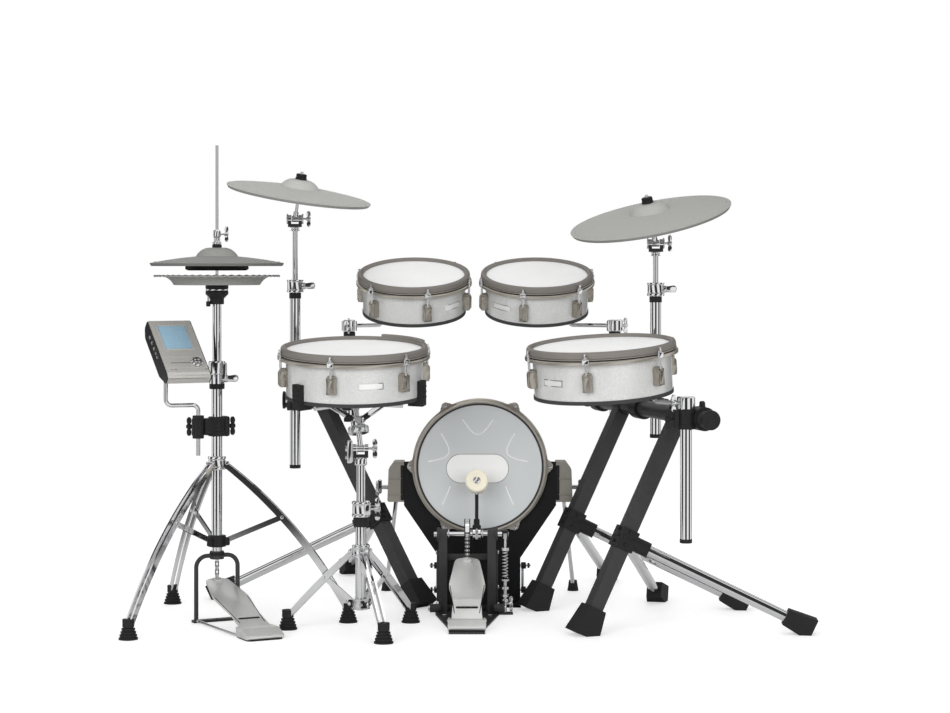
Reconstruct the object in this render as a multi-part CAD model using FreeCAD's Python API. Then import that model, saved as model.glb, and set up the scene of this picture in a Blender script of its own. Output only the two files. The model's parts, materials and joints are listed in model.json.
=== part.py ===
import FreeCAD, Part
import math
import os

# Electronic drum kit: four pads, kick tower with pedal, hi-hat stand, two cymbals,
# sound module and two folding racks. Millimetres, +Z up, the player sits towards -Y.
# The origin is on the floor under the middle of the kick pad's base plate.

V = FreeCAD.Vector
Rotation = FreeCAD.Rotation
Placement = FreeCAD.Placement
UP = V(0, 0, 1)
ACROSS = V(1, 0, 0)
AWAY = V(0, 1, 0)

# Fits
CLEAR = 0.5
RUN = 0.06

# Drum pads: radius of the head, depth of the shell, hoop and lug sizes
SNARE_R = 152.4
TOM_R = 127.0
FLOOR_R = 152.4
KICK_R = 152.4
SNARE_DEPTH = 104.0
TOM_DEPTH = 92.0
FLOOR_DEPTH = 104.0
KICK_DEPTH = 70.0
SHELL_WALL = 6.0
SHELL_BASE = 4.0
HEAD_THICK = 3.0
HOOP_GAP = 1.0
HOOP_WALL = 11.0
HOOP_SKIRT = 20.0
HOOP_RISE = 8.0
HOOP_LIP = 7.0
FLANGE_H = 5.0
FLANGE_OUT = 4.0
LUG_H = 36.0
LUG_W = 20.0
LUG_OUT = 20.0
LUG_DROP = 40.0
LUG_ROD_R = 3.0
LUG_COUNT = 6
LUG_WAIST = 3.0

SNARE_TOP = V(-280, -370, 625)
SNARE_TILT = 6.0
TOM_LEFT_TOP = V(-163, 200, 786)
TOM_RIGHT_TOP = V(141, 200, 786)
TOM_TILT = 16.0
FLOOR_TOP = V(264, -440, 634)
FLOOR_TILT = 5.0
FLOOR_ROLL = -3.5
KICK_CENTRE_Z = 330.0
KICK_EAR = 14.0

# Kick tower
PLATE_THICK = 12.0
PLATE_EDGE = 13.6
PLATE_TOP_HALF = KICK_R + HOOP_GAP + HOOP_WALL + FLANGE_OUT + PLATE_EDGE
PLATE_FOOT_HALF = 96.5
PLATE_TOP_Z = 340.0
PLATE_WAIST_Z = 236.0
PLATE_HIP_Z = 110.0
BASE_THICK = 5.0
BASE_DEPTH = 120.0
BRACKET_W = 40.0
BRACKET_H = 96.0
BRACKET_D = 60.0
BRACKET_RISE = 8.0
BRACKET_SLOPE = 18.0
BRACKET_DRAFT = 3.0
BRACKET_CROWN = 16.0
BRACKET_ROUND = 5.0
SPUR_BOLT_R = 3.5
SPUR_BOLT_L = 16.0
SPUR_BOLT_DROP = 42.4
SPUR_KNOB = (10.0, 14.0, 34.0)
SPUR_KNOB_EDGE = 3.0
SPUR_R = 5.0
SPUR_SPLAY = 10.0
SPUR_FOOT = V(PLATE_TOP_HALF + BRACKET_W + SPUR_SPLAY, 245, 0)
SPUR_FOOT_R = 14.0
SPUR_FOOT_H = 26.0

# Cymbals
HAT_R = 152.4
CRASH_R = 177.8
RIDE_R = 190.5
CYMBAL_THICK = 5.0
BELL_R = 42.0
BELL_H = 20.0
BOW_H = 16.0
CYMBAL_HOLE = 6.0
CYMBAL_LIP = 6.0
CYMBAL_BEVEL = 4.0
CYMBAL_RIM = 12.0
CROWN_LAND = 14.0
BELL_FOOT = 6.0

# Rack
RACK_Z = 478.0
RACK_TUBE_R = 19.0
RACK_TUBE_WALL = 2.5
RACK_LEG = 32.0
LEG_WALL = 2.5
REAR_LEG_R = 12.0
POST_R = 12.7
POST_WALL = 2.0
POST_OFFSET = 36.0
CLAMP_H = 44.0
CLAMP_WALL = 7.0
CAP_T = 6.0
BLOCK_SHARE = 0.417
BLOCK_WALL = 5.0
BLOCK_LENGTH = 48.0
SOCKET_WALL = 5.0
SOCKET_LENGTH = 60.0
BOOT_LENGTH = 52.0
BOOT_WALL = 6.0
BOOT_BELOW = 14.0
BOOT_FLARE = 1.38
ARM_R = 5.0

KICK_SIDE = PLATE_TOP_HALF + BRACKET_W
RIGHT_NEAR_TOP = V(KICK_SIDE + 221, -350, RACK_Z)
RIGHT_FAR_TOP = V(KICK_SIDE + 121, 10, RACK_Z)
RIGHT_NEAR_REACH = 190.0
RIGHT_FAR_REACH = 270.0
UNIT_FOOT = V(-215, -80, 0)
UNIT_SIDE = V(490, 10, 0)
UNIT_BACK = V(200, 500, 0)
LEFT_TOP = V(-KICK_SIDE - 168, 190, RACK_Z)
LEFT_NEAR_REACH = 90.0
LEFT_FAR_REACH = 130.0
LEFT_FOOT = V(-KICK_SIDE + 77, -30, 0)
LEFT_SIDE = V(-KICK_SIDE - 418, 110, 0)
LEFT_BACK = V(-KICK_SIDE - 121, 560, 0)


def solid_between(start, end, radius):
    """Round bar from start to end."""
    line = end - start
    return Part.makeCylinder(radius, line.Length, start, line)


def tube_between(start, end, radius, wall):
    """Open round tube from start to end."""
    line = end - start
    outer = Part.makeCylinder(radius, line.Length, start, line)
    return outer.cut(Part.makeCylinder(radius - wall, line.Length, start, line))


def lathe(points):
    """Turned solid about Z from a closed outline of (radius, height) points."""
    outline = [V(r, 0, z) for r, z in points]
    face = Part.Face(Part.makePolygon(outline + outline[:1]))
    return face.revolve(V(0, 0, 0), UP, 360)


def lathe_wire(edges):
    """Turned solid about Z from the edges of a closed outline in the XZ plane."""
    return Part.Face(Part.Wire(edges)).revolve(V(0, 0, 0), UP, 360)


def line_rz(a, b):
    return Part.makeLine(V(a[0], 0, a[1]), V(b[0], 0, b[1]))


def arc_rz(a, mid, b):
    return Part.Arc(V(a[0], 0, a[1]), V(mid[0], 0, mid[1]), V(b[0], 0, b[1])).toShape()


def prism(points, normal, thickness):
    """Flat outline of points pushed along normal by thickness."""
    face = Part.Face(Part.makePolygon(points + points[:1]))
    return face.extrude(normal * thickness)


def square_bar(start, end, width, height, side):
    """Rectangular bar from start to end; side is roughly its width direction."""
    line = end - start
    axis = V(line).normalize()
    across = side - axis * side.dot(axis)
    across.normalize()
    rise = axis.cross(across)
    corners = []
    for sx, sy in ((-1, -1), (1, -1), (1, 1), (-1, 1)):
        corners.append(start + across * (sx * width / 2) + rise * (sy * height / 2))
    return prism(corners, axis, line.Length)


def bent_bar(points, radius, bend):
    """Round bar along straight runs joined by tangent arcs of one bend radius."""
    edges = []
    last = points[0]
    for before, corner, after in zip(points, points[1:], points[2:]):
        a = (before - corner).normalize()
        b = (after - corner).normalize()
        half = math.acos(max(-1.0, min(1.0, a.dot(b)))) / 2
        reach = bend / math.tan(half)
        enter = corner + a * reach
        leave = corner + b * reach
        middle = corner + (a + b).normalize() * (bend / math.sin(half) - bend)
        edges.append(Part.makeLine(last, enter))
        edges.append(Part.Arc(enter, middle, leave).toShape())
        last = leave
    edges.append(Part.makeLine(last, points[-1]))
    profile = Part.Wire(Part.makeCircle(radius, points[0], points[1] - points[0]))
    return Part.Wire(edges).makePipeShell([profile], True, False)


def placed(shape, place):
    """Copy of a shape moved from its own frame to its place in the kit."""
    out = shape.copy()
    out.Placement = place.multiply(out.Placement)
    return out


def above_floor(shape, level=0.0):
    """Part of a shape that lies above a level."""
    box = shape.BoundBox
    size = max(box.XLength, box.YLength, box.ZLength) + 10
    low = V(box.XMin - 5, box.YMin - 5, level)
    return shape.common(Part.makeBox(size, size, size, low))


parts = {}


def keep(name, *shapes):
    """Add solids to a named sub-part."""
    solids = parts.setdefault(name, [])
    for shape in shapes:
        solids.extend(shape.Solids)


# Drum pads


def drum_shell(radius, depth):
    """Cup-shaped pad shell, rim seat at the top, closed base."""
    top = -HEAD_THICK
    inner = radius - SHELL_WALL
    low = top - depth
    return lathe([(0, low), (radius, low), (radius, top), (inner, top),
                  (inner, low + SHELL_BASE), (0, low + SHELL_BASE)])


def drum_head(radius):
    return Part.makeCylinder(radius - CLEAR, HEAD_THICK, V(0, 0, -HEAD_THICK))


def drum_hoop(radius):
    """Hoop with a rounded rubber crown, a lip over the head and a lower flange."""
    inner = radius + HOOP_GAP
    outer = inner + HOOP_WALL
    lip = radius - HOOP_LIP
    skirt = -HOOP_SKIRT
    wide = outer + FLANGE_OUT
    crown = (lip + outer) / 2
    edges = [
        line_rz((inner, 0), (inner, skirt)),
        line_rz((inner, skirt), (wide, skirt)),
        line_rz((wide, skirt), (wide, skirt + FLANGE_H)),
        line_rz((wide, skirt + FLANGE_H), (outer, skirt + FLANGE_H)),
        line_rz((outer, skirt + FLANGE_H), (outer, 0)),
        arc_rz((outer, 0), (crown, HOOP_RISE), (lip, 0)),
        line_rz((lip, 0), (inner, 0)),
    ]
    return lathe_wire(edges)


def drum_lug(radius):
    """Cast lug with a waisted outer face, and its tension rod up to the hoop flange."""
    top = -LUG_DROP
    low = top - LUG_H
    out = radius + LUG_OUT
    waist = V(out - LUG_WAIST, 0, (top + low) / 2)
    edges = [
        line_rz((radius - SHELL_WALL / 3, low), (out, low)),
        Part.Arc(V(out, 0, low), waist, V(out, 0, top)).toShape(),
        line_rz((out, top), (radius - SHELL_WALL / 3, top)),
        line_rz((radius - SHELL_WALL / 3, top), (radius - SHELL_WALL / 3, low)),
    ]
    body = Part.Face(Part.Wire(edges)).extrude(V(0, LUG_W, 0))
    body.translate(V(0, -LUG_W / 2, 0))
    body = body.cut(Part.makeCylinder(radius + RUN, LUG_H, V(0, 0, low)))
    rod_at = V(radius + HOOP_GAP + HOOP_WALL, 0, top)
    rod = Part.makeCylinder(LUG_ROD_R, LUG_DROP - HOOP_SKIRT, rod_at)
    return body.fuse(rod)


def drum(name, lug_node, radius, depth, place, first_lug):
    """Shell, head, hoop and lugs of one pad."""
    keep(name + "_shell", placed(drum_shell(radius, depth), place))
    keep(name + "_head", placed(drum_head(radius), place))
    keep(name + "_hoop", placed(drum_hoop(radius), place))
    lug = drum_lug(radius)
    for i in range(LUG_COUNT):
        turn = Placement(V(0, 0, 0), Rotation(UP, first_lug + i * 360.0 / LUG_COUNT))
        keep(lug_node, placed(lug, place.multiply(turn)))


def tilted(top, forward, roll=0.0):
    """Place with its axis leaning towards the player by forward and sideways by roll."""
    return Placement(top, Rotation(AWAY, roll).multiply(Rotation(ACROSS, forward)))


SNARE_PLACE = tilted(SNARE_TOP, SNARE_TILT)
TOM_LEFT_PLACE = tilted(TOM_LEFT_TOP, TOM_TILT)
TOM_RIGHT_PLACE = tilted(TOM_RIGHT_TOP, TOM_TILT)
FLOOR_PLACE = tilted(FLOOR_TOP, FLOOR_TILT, FLOOR_ROLL)
KICK_PLACE = Placement(V(0, 0, KICK_CENTRE_Z), Rotation(ACROSS, 90))

drum("snare", "snare_lugs", SNARE_R, SNARE_DEPTH, SNARE_PLACE, 255)
drum("tom_left", "tom_lugs", TOM_R, TOM_DEPTH, TOM_LEFT_PLACE, 285)
drum("tom_right", "tom_lugs", TOM_R, TOM_DEPTH, TOM_RIGHT_PLACE, 255)
drum("floor_tom", "tom_lugs", FLOOR_R, FLOOR_DEPTH, FLOOR_PLACE, 255)

# Kick tower


def kick_plate():
    """Steel back plate with a round seat for the pad, welded to a floor plate."""
    front = HOOP_SKIRT + CLEAR
    outline = []
    for half, z in ((PLATE_TOP_HALF, PLATE_TOP_Z), (PLATE_TOP_HALF, PLATE_WAIST_Z),
                    (PLATE_FOOT_HALF, PLATE_HIP_Z), (PLATE_FOOT_HALF, 0)):
        outline.append((half, z))
    right = [V(x, front, z) for x, z in outline]
    left = [V(-x, front, z) for x, z in reversed(outline)]
    plate = prism(right + left, AWAY, PLATE_THICK)
    seat = Part.makeCylinder(KICK_R + RUN, PLATE_THICK, V(0, front, KICK_CENTRE_Z), AWAY)
    floor = Part.makeBox(2 * PLATE_FOOT_HALF, BASE_DEPTH, BASE_THICK,
                         V(-PLATE_FOOT_HALF, front - BASE_DEPTH / 2, 0))
    return plate.cut(seat).fuse(floor).removeSplitter()


def kick_bracket(side):
    """Moulded spur housing on one edge of the plate, with a sloping crown."""
    front = HOOP_SKIRT + CLEAR
    inner = side * PLATE_TOP_HALF
    outer = side * (PLATE_TOP_HALF + BRACKET_W)
    low = PLATE_WAIST_Z + BRACKET_RISE
    high = low + BRACKET_H
    outline = [V(inner, front, low), V(outer, front, low),
               V(outer - side * BRACKET_DRAFT, front, high - BRACKET_SLOPE),
               V(outer - side * BRACKET_CROWN, front, high), V(inner, front, high)]
    body = prism(outline, AWAY, BRACKET_D)
    outside = [e for e in body.Edges if abs(e.BoundBox.XMin - outer) < BRACKET_CROWN + CLEAR]
    return body.makeFillet(BRACKET_ROUND, [e for e in outside if e.BoundBox.YLength > BRACKET_D / 2])


def kick_spur(side):
    """Spur rod from the housing down to the floor, and the wing bolt that locks it."""
    middle = HOOP_SKIRT + CLEAR + BRACKET_D / 2
    top = V(side * (PLATE_TOP_HALF + BRACKET_W / 2), middle, PLATE_WAIST_Z + BRACKET_RISE)
    foot = V(side * SPUR_FOOT.x, SPUR_FOOT.y, SPUR_FOOT_H / 2)
    rod = solid_between(top, foot, SPUR_R)
    bolt_z = PLATE_WAIST_Z + SPUR_BOLT_DROP
    face_x = side * (PLATE_TOP_HALF + BRACKET_W - BRACKET_DRAFT)
    shaft_end = V(face_x + side * (SPUR_BOLT_L + BRACKET_DRAFT), middle, bolt_z)
    shaft = solid_between(V(face_x, middle, bolt_z), shaft_end, SPUR_BOLT_R)
    knob = Part.makeBox(*SPUR_KNOB, V(*SPUR_KNOB) * -0.5)
    knob.translate(shaft_end + V(side * SPUR_KNOB_EDGE, 0, 0))
    knob = knob.makeChamfer(SPUR_KNOB_EDGE, knob.Edges)
    boot = Part.makeCone(SPUR_FOOT_R, SPUR_FOOT_R * 0.7, SPUR_FOOT_H, V(foot.x, foot.y, 0))
    return rod, shaft.fuse(knob), boot


keep("kick_shell", placed(drum_shell(KICK_R, KICK_DEPTH), KICK_PLACE))
keep("kick_head", placed(drum_head(KICK_R), KICK_PLACE))
kick_hoop = drum_hoop(KICK_R)
ear_at = V(KICK_R + HOOP_GAP + HOOP_WALL - 2, -KICK_EAR / 2, -HOOP_SKIRT)
for i in range(LUG_COUNT):
    ear = Part.makeBox(KICK_EAR, KICK_EAR, HOOP_SKIRT - FLANGE_H, ear_at)
    kick_hoop = kick_hoop.fuse(placed(ear, Placement(V(0, 0, 0), Rotation(UP, i * 360.0 / LUG_COUNT))))
keep("kick_hoop", placed(kick_hoop.removeSplitter(), KICK_PLACE))
keep("kick_plate", kick_plate())
for side in (-1, 1):
    spur_rod, spur_bolt, spur_boot = kick_spur(side)
    bracket = kick_bracket(side)
    keep("kick_brackets", bracket.cut(spur_bolt).cut(spur_rod))
    keep("kick_spurs", spur_rod, spur_bolt)
    keep("rubber_feet", spur_boot.cut(spur_rod))

# Rack


def boot(end, start, radius):
    """Rubber boot round the lower end of a leg, widening to the floor and cut flat on it."""
    axis = (start - end).normalize()
    across = axis.cross(UP).normalize()
    rise = axis.cross(across)
    wires = []
    for at, half in ((-BOOT_BELOW, radius * BOOT_FLARE), (BOOT_LENGTH, radius)):
        corners = []
        for sx, sy in ((-1, -1), (1, -1), (1, 1), (-1, 1)):
            corners.append(end + axis * at + across * (sx * half) + rise * (sy * half))
        wires.append(Part.makePolygon(corners + corners[:1]))
    return above_floor(Part.makeLoft(wires, True, True))


def rack_unit(top, foot, side, back, tube):
    """One tripod: black front leg, its slider block with two sockets, two chrome legs."""
    foot = foot + V(0, 0, 2 * BOOT_WALL)
    stem = square_bar(foot, top, RACK_LEG, RACK_LEG, UP.cross(top - foot))
    hollow = square_bar(foot, top, RACK_LEG - 2 * LEG_WALL, RACK_LEG - 2 * LEG_WALL, UP.cross(top - foot))
    hub = foot + (top - foot) * BLOCK_SHARE
    axis = (top - foot).normalize()
    width = RACK_LEG + 2 * BLOCK_WALL
    block = square_bar(hub - axis * BLOCK_LENGTH / 2, hub + axis * BLOCK_LENGTH / 2,
                       width, width, UP.cross(top - foot))
    legs = []
    for end in (side, back):
        tip = end + V(0, 0, REAR_LEG_R + 4)
        line = (tip - hub).normalize()
        leg = tube_between(hub + line * (width * 0.75), tip, REAR_LEG_R, POST_WALL)
        core = solid_between(hub + line * (width * 0.75), tip, REAR_LEG_R)
        socket = solid_between(hub, hub + line * SOCKET_LENGTH, REAR_LEG_R + SOCKET_WALL)
        block = block.fuse(socket)
        legs.append((leg, core, tip, line))
    for leg, core, tip, line in legs:
        block = block.cut(core)
    keep("rack_front_legs", stem.cut(tube).cut(hollow))
    keep("rack_clamps", block.cut(stem))
    keep("rubber_feet", boot(foot, top, RACK_LEG / 2 + BOOT_WALL).cut(stem))
    for leg, core, tip, line in legs:
        keep("rack_rear_legs", leg)
        keep("rubber_feet", boot(tip, hub, REAR_LEG_R + BOOT_WALL).cut(core))


def rack_tube(near, far):
    """Black rack tube with a plug in each end."""
    axis = (far - near).normalize()
    keep("rack_tubes", tube_between(near, far, RACK_TUBE_R, RACK_TUBE_WALL))
    for end, out in ((near, axis * -1), (far, axis)):
        keep("rack_clamps", solid_between(end, end + out * CAP_T, RACK_TUBE_R + 2))
    return solid_between(near, far, RACK_TUBE_R + RUN)


def rack_clamp(on_tube, axis, post):
    """Moulded clamp that holds an upright post beside the rack tube."""
    half = axis * (CLAMP_H / 2)
    round_tube = solid_between(on_tube - half, on_tube + half, RACK_TUBE_R + CLAMP_WALL)
    low = V(post.x, post.y, RACK_Z - CLAMP_H / 2)
    round_post = Part.makeCylinder(POST_R + CLAMP_WALL, CLAMP_H, low)
    hole_tube = solid_between(on_tube - half, on_tube + half, RACK_TUBE_R + RUN)
    hole_post = Part.makeCylinder(POST_R + RUN, CLAMP_H, low)
    return round_tube.fuse(round_post).cut(hole_tube).cut(hole_post)


right_axis = (RIGHT_FAR_TOP - RIGHT_NEAR_TOP).normalize()
right_side = V(right_axis.y, -right_axis.x, 0)
right_near = RIGHT_NEAR_TOP - right_axis * RIGHT_NEAR_REACH
right_far = RIGHT_FAR_TOP + right_axis * RIGHT_FAR_REACH
right_core = rack_tube(right_near, right_far)
for unit_top in (RIGHT_NEAR_TOP, RIGHT_FAR_TOP):
    unit_foot = V(unit_top.x, unit_top.y, 0) + UNIT_FOOT
    rack_unit(unit_top, unit_foot, unit_foot + UNIT_SIDE, unit_foot + UNIT_BACK, right_core)
left_near = LEFT_TOP - ACROSS * LEFT_NEAR_REACH
left_far = LEFT_TOP + ACROSS * LEFT_FAR_REACH
left_core = rack_tube(left_near, left_far)
rack_unit(LEFT_TOP, LEFT_FOOT, LEFT_SIDE, LEFT_BACK, left_core)


def post_on(near, axis, side, along):
    """Point on the rack tube at a distance from its near end, and the post beside it."""
    on_tube = near + axis * along
    return on_tube, on_tube + side * POST_OFFSET


# Posts, cymbal rods and cymbals
FLOOR_POST_ALONG = 52.0
RIDE_POST_ALONG = 440.0
TOM_RIGHT_POST_ALONG = 733.0
CRASH_POST_ALONG = 27.0
TOM_LEFT_POST_ALONG = 160.0
CYMBAL_ROD_R = 6.35
ROD_INSIDE = 190.0
COLLAR_R = 19.0
COLLAR_H = 26.0
STUD_R = 4.0
STUD_LENGTH = 112.0
CYMBAL_ABOVE_TILTER = 62.0
TILTER_R = 10.0
TILTER_GAP = 0.6
SLEEVE_R = 13.0
SLEEVE_H = 14.0
SEAT_H = 10.0
YOKE_W = 34.0
YOKE_D = 18.0
YOKE_T = 8.0
WING_L = 30.0
WING_T = 5.0
WING_H = 13.0

# Heights of a post's lower end, its top and the cymbal's tilter
CRASH_HEIGHTS = (316.0, 747.0, 924.0)
CRASH_TILT = 7.0
CRASH_ROLL = 9.0
RIDE_HEIGHTS = (410.0, 742.0, 862.0)
RIDE_TILT = 12.0
RIDE_ROLL = -12.0
TOM_POST_LOW = 430.0
TOM_CLAMP_Z = 650.0
FLOOR_POST_LOW = 212.0
FLOOR_ARM_Z = RACK_Z + CLAMP_H / 2
TOM_REACH = TOM_R - 47.0
FLOOR_REACH = FLOOR_R - 42.4
ARM_CAP_H = 24.0
ARM_CAP_WALL = 6.0
ARM_BEND = 12.0


def cymbal(radius):
    """Moulded rubber cymbal: flat bow, raised bell with a flat crown, bevelled edge."""
    t = CYMBAL_THICK
    crown = BOW_H + BELL_H
    crown_r = CYMBAL_HOLE + CROWN_LAND
    middle = (BELL_R + radius) / 2
    dip = BOW_H * 0.65
    shoulder = BOW_H + BELL_H * 0.42
    lip = -CYMBAL_LIP
    edges = [
        line_rz((CYMBAL_HOLE, crown - t), (CYMBAL_HOLE, crown)),
        line_rz((CYMBAL_HOLE, crown), (crown_r, crown)),
        arc_rz((crown_r, crown), (BELL_R * 0.8, shoulder), (BELL_R + BELL_FOOT, BOW_H)),
        arc_rz((BELL_R + BELL_FOOT, BOW_H), (middle, dip), (radius, 1)),
        line_rz((radius, 1), (radius - CYMBAL_BEVEL, lip)),
        line_rz((radius - CYMBAL_BEVEL, lip), (radius - CYMBAL_RIM, lip)),
        arc_rz((radius - CYMBAL_RIM, lip), (middle, dip - t), (BELL_R + 4, BOW_H - t)),
        arc_rz((BELL_R + 4, BOW_H - t), (BELL_R * 0.72, shoulder - t), (crown_r - 4, crown - t)),
        line_rz((crown_r - 4, crown - t), (CYMBAL_HOLE, crown - t)),
    ]
    return lathe_wire(edges)


def yoke_at(pivot):
    """Fork with two round cheeks, open upwards, and the knuckle that tilts in it."""
    fork = Part.makeBox(YOKE_W, YOKE_D, YOKE_T, pivot + V(-YOKE_W / 2, -YOKE_D / 2, -TILTER_R - YOKE_T - 2))
    room = YOKE_W / 2 - YOKE_T
    for inner in (-YOKE_W / 2, room):
        at = pivot + V(inner, 0, 0)
        fork = fork.fuse(Part.makeCylinder(TILTER_R, YOKE_T, at, ACROSS))
        fork = fork.fuse(Part.makeBox(YOKE_T, YOKE_D, TILTER_R + 4, at + V(0, -YOKE_D / 2, -TILTER_R - 4)))
    half = room - TILTER_GAP
    knuckle = Part.makeCylinder(TILTER_R - 2, 2 * half, pivot + V(-half, 0, 0), ACROSS)
    return fork, knuckle


def cymbal_stand(name, radius, post, heights, tilt, roll):
    """Fixed post, sliding rod with tilter cheeks, tilting stud and cymbal."""
    low, top, tilter_z = heights
    tube = tube_between(V(post.x, post.y, low), V(post.x, post.y, top), POST_R, POST_WALL)
    collar = Part.makeCylinder(COLLAR_R, COLLAR_H, V(post.x, post.y, top))
    bore = Part.makeCylinder(CYMBAL_ROD_R + RUN, COLLAR_H, V(post.x, post.y, top))
    wing = Part.makeBox(WING_L, WING_T, WING_H, V(post.x + COLLAR_R - 2, post.y - WING_T / 2, top + 6))
    keep("rack_posts", tube.fuse(collar.fuse(wing).cut(bore)).removeSplitter())
    pivot = V(post.x, post.y, tilter_z)
    fork, knuckle = yoke_at(pivot)
    rod_low = V(post.x, post.y, top - ROD_INSIDE)
    rod = solid_between(rod_low, pivot - UP * (TILTER_R + 4), CYMBAL_ROD_R)
    keep(name + "_rod", rod.fuse(fork).removeSplitter())
    place = tilted(pivot, tilt, roll)
    crown = CYMBAL_ABOVE_TILTER + BOW_H + BELL_H
    stud = Part.makeCylinder(STUD_R, STUD_LENGTH)
    seat = Part.makeCylinder(SLEEVE_R, SEAT_H, V(0, 0, crown - CYMBAL_THICK - SEAT_H))
    nut = Part.makeCylinder(SLEEVE_R, SLEEVE_H, V(0, 0, crown))
    arm = placed(stud.fuse(seat).fuse(nut), place).fuse(knuckle)
    keep(name + "_stud", arm.removeSplitter())
    disc = cymbal(radius)
    disc.translate(V(0, 0, CYMBAL_ABOVE_TILTER))
    keep(name + "_cymbal", placed(disc, place))


ride_on, ride_post = post_on(right_near, right_axis, right_side, RIDE_POST_ALONG)
floor_on, floor_post = post_on(right_near, right_axis, right_side * -1, FLOOR_POST_ALONG)
tom_right_on, tom_right_post = post_on(right_near, right_axis, right_side, TOM_RIGHT_POST_ALONG)
left_side = V(0, -1, 0)
crash_on, crash_post = post_on(left_near, ACROSS, left_side, CRASH_POST_ALONG)
tom_left_on, tom_left_post = post_on(left_near, ACROSS, left_side, TOM_LEFT_POST_ALONG)
for on_tube, axis, post in ((ride_on, right_axis, ride_post), (floor_on, right_axis, floor_post),
                            (tom_right_on, right_axis, tom_right_post), (crash_on, ACROSS, crash_post),
                            (tom_left_on, ACROSS, tom_left_post)):
    keep("rack_clamps", rack_clamp(on_tube, axis, post))
cymbal_stand("crash", CRASH_R, crash_post, CRASH_HEIGHTS, CRASH_TILT, CRASH_ROLL)
cymbal_stand("ride", RIDE_R, ride_post, RIDE_HEIGHTS, RIDE_TILT, RIDE_ROLL)


def tom_arm(post, low, arm_z, pad_place, radius, depth, reach):
    """Post with an L-shaped arm whose end meets the underside of a pad."""
    socket = pad_place.multVec(V(reach.x, reach.y, -HEAD_THICK - depth + SHELL_BASE / 2))
    tube = tube_between(V(post.x, post.y, low), V(post.x, post.y, arm_z), POST_R, POST_WALL)
    cap = Part.makeCylinder(POST_R + ARM_CAP_WALL, ARM_CAP_H, V(post.x, post.y, arm_z))
    start = V(post.x, post.y, arm_z + ARM_CAP_H / 2)
    arm = bent_bar([start, V(socket.x, socket.y, start.z), socket], ARM_R, ARM_BEND)
    arm = arm.cut(placed(drum_shell(radius, depth), pad_place))
    keep("rack_posts", tube.fuse(cap).fuse(arm).removeSplitter())


tom_arm(tom_left_post, TOM_POST_LOW, TOM_CLAMP_Z, TOM_LEFT_PLACE, TOM_R, TOM_DEPTH, V(-TOM_REACH, 0, 0))
tom_arm(tom_right_post, TOM_POST_LOW, TOM_CLAMP_Z, TOM_RIGHT_PLACE, TOM_R, TOM_DEPTH, V(TOM_REACH, 0, 0))
tom_arm(floor_post, FLOOR_POST_LOW, FLOOR_ARM_Z, FLOOR_PLACE, FLOOR_R, FLOOR_DEPTH, V(FLOOR_REACH, 0, 0))

# Tripod stands
STRAP_W = 15.0
STRAP_T = 4.0
STRAP_GAP = 9.0
BRACE_T = 4.0
HUB_R = 19.0
HUB_H = 28.0
FOOT_R = 21.0
FOOT_H = 44.0
FOOT_RIBS = 4
STAND_R = 12.0
STAND_WALL = 2.0
STAND_COLLAR = 5.0
WING_DROP = 20.0
LEG_ANGLES = (60.0, 180.0, 300.0)


def about(base, yaw):
    """Frame that stands on base, turned by yaw about the vertical."""
    return Placement(base, Rotation(UP, yaw))


def strap_leg(reach, hub_z, low_z):
    """Double strap leg with its brace, in the plane of +X, and the point of its foot."""
    foot_z = FOOT_H * 0.62
    root = HUB_R - STRAP_T
    knee = V(reach * 0.52, 0, hub_z * 0.66)
    outer = [V(root, 0, hub_z + STRAP_W / 2), knee, V(reach, 0, foot_z)]
    inner = [V(reach - STRAP_W, 0, foot_z), knee - V(STRAP_W * 0.8, 0, STRAP_W * 0.6),
             V(root, 0, hub_z - STRAP_W / 2)]
    edges = [Part.Arc(*outer).toShape(), Part.makeLine(outer[2], inner[0]),
             Part.Arc(*inner).toShape(), Part.makeLine(inner[2], outer[0])]
    strap = Part.Face(Part.Wire(edges)).extrude(V(0, STRAP_T, 0))
    solids = []
    for shift in (STRAP_GAP / 2, -STRAP_GAP / 2 - STRAP_T):
        one = strap.copy()
        one.translate(V(0, shift, 0))
        solids.append(one)
    pin_at = V(reach * 0.5 - STRAP_W * 0.3, 0, hub_z * 0.66)
    brace = square_bar(V(root, 0, low_z), pin_at, BRACE_T, STRAP_W * 0.8, AWAY)
    pin = Part.makeCylinder(3, STRAP_GAP + 2 * STRAP_T, pin_at + V(0, -STRAP_GAP / 2 - STRAP_T, 0), AWAY)
    foot_pin = Part.makeBox(STRAP_W * 0.8, STRAP_GAP, STRAP_W, V(reach - STRAP_W, -STRAP_GAP / 2, foot_z))
    leg = solids[0].fuse(solids[1]).fuse(brace).fuse(pin).fuse(foot_pin)
    return leg, V(reach - STRAP_W / 2, 0, 0)


def ribbed_foot(at):
    """Ribbed rubber foot that widens to the floor."""
    points = [(0, 0), (FOOT_R, 0)]
    step = FOOT_H * 0.62 / FOOT_RIBS
    for i in range(FOOT_RIBS):
        r = FOOT_R - 2.0 * i
        points += [(r, (i + 0.55) * step), (r - 4, (i + 0.6) * step), (r - 4, (i + 0.95) * step)]
        points += [(r - 2, (i + 1.0) * step)]
    points += [(FOOT_R * 0.62, FOOT_H), (0, FOOT_H)]
    out = lathe(points)
    out.translate(at)
    return out


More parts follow.
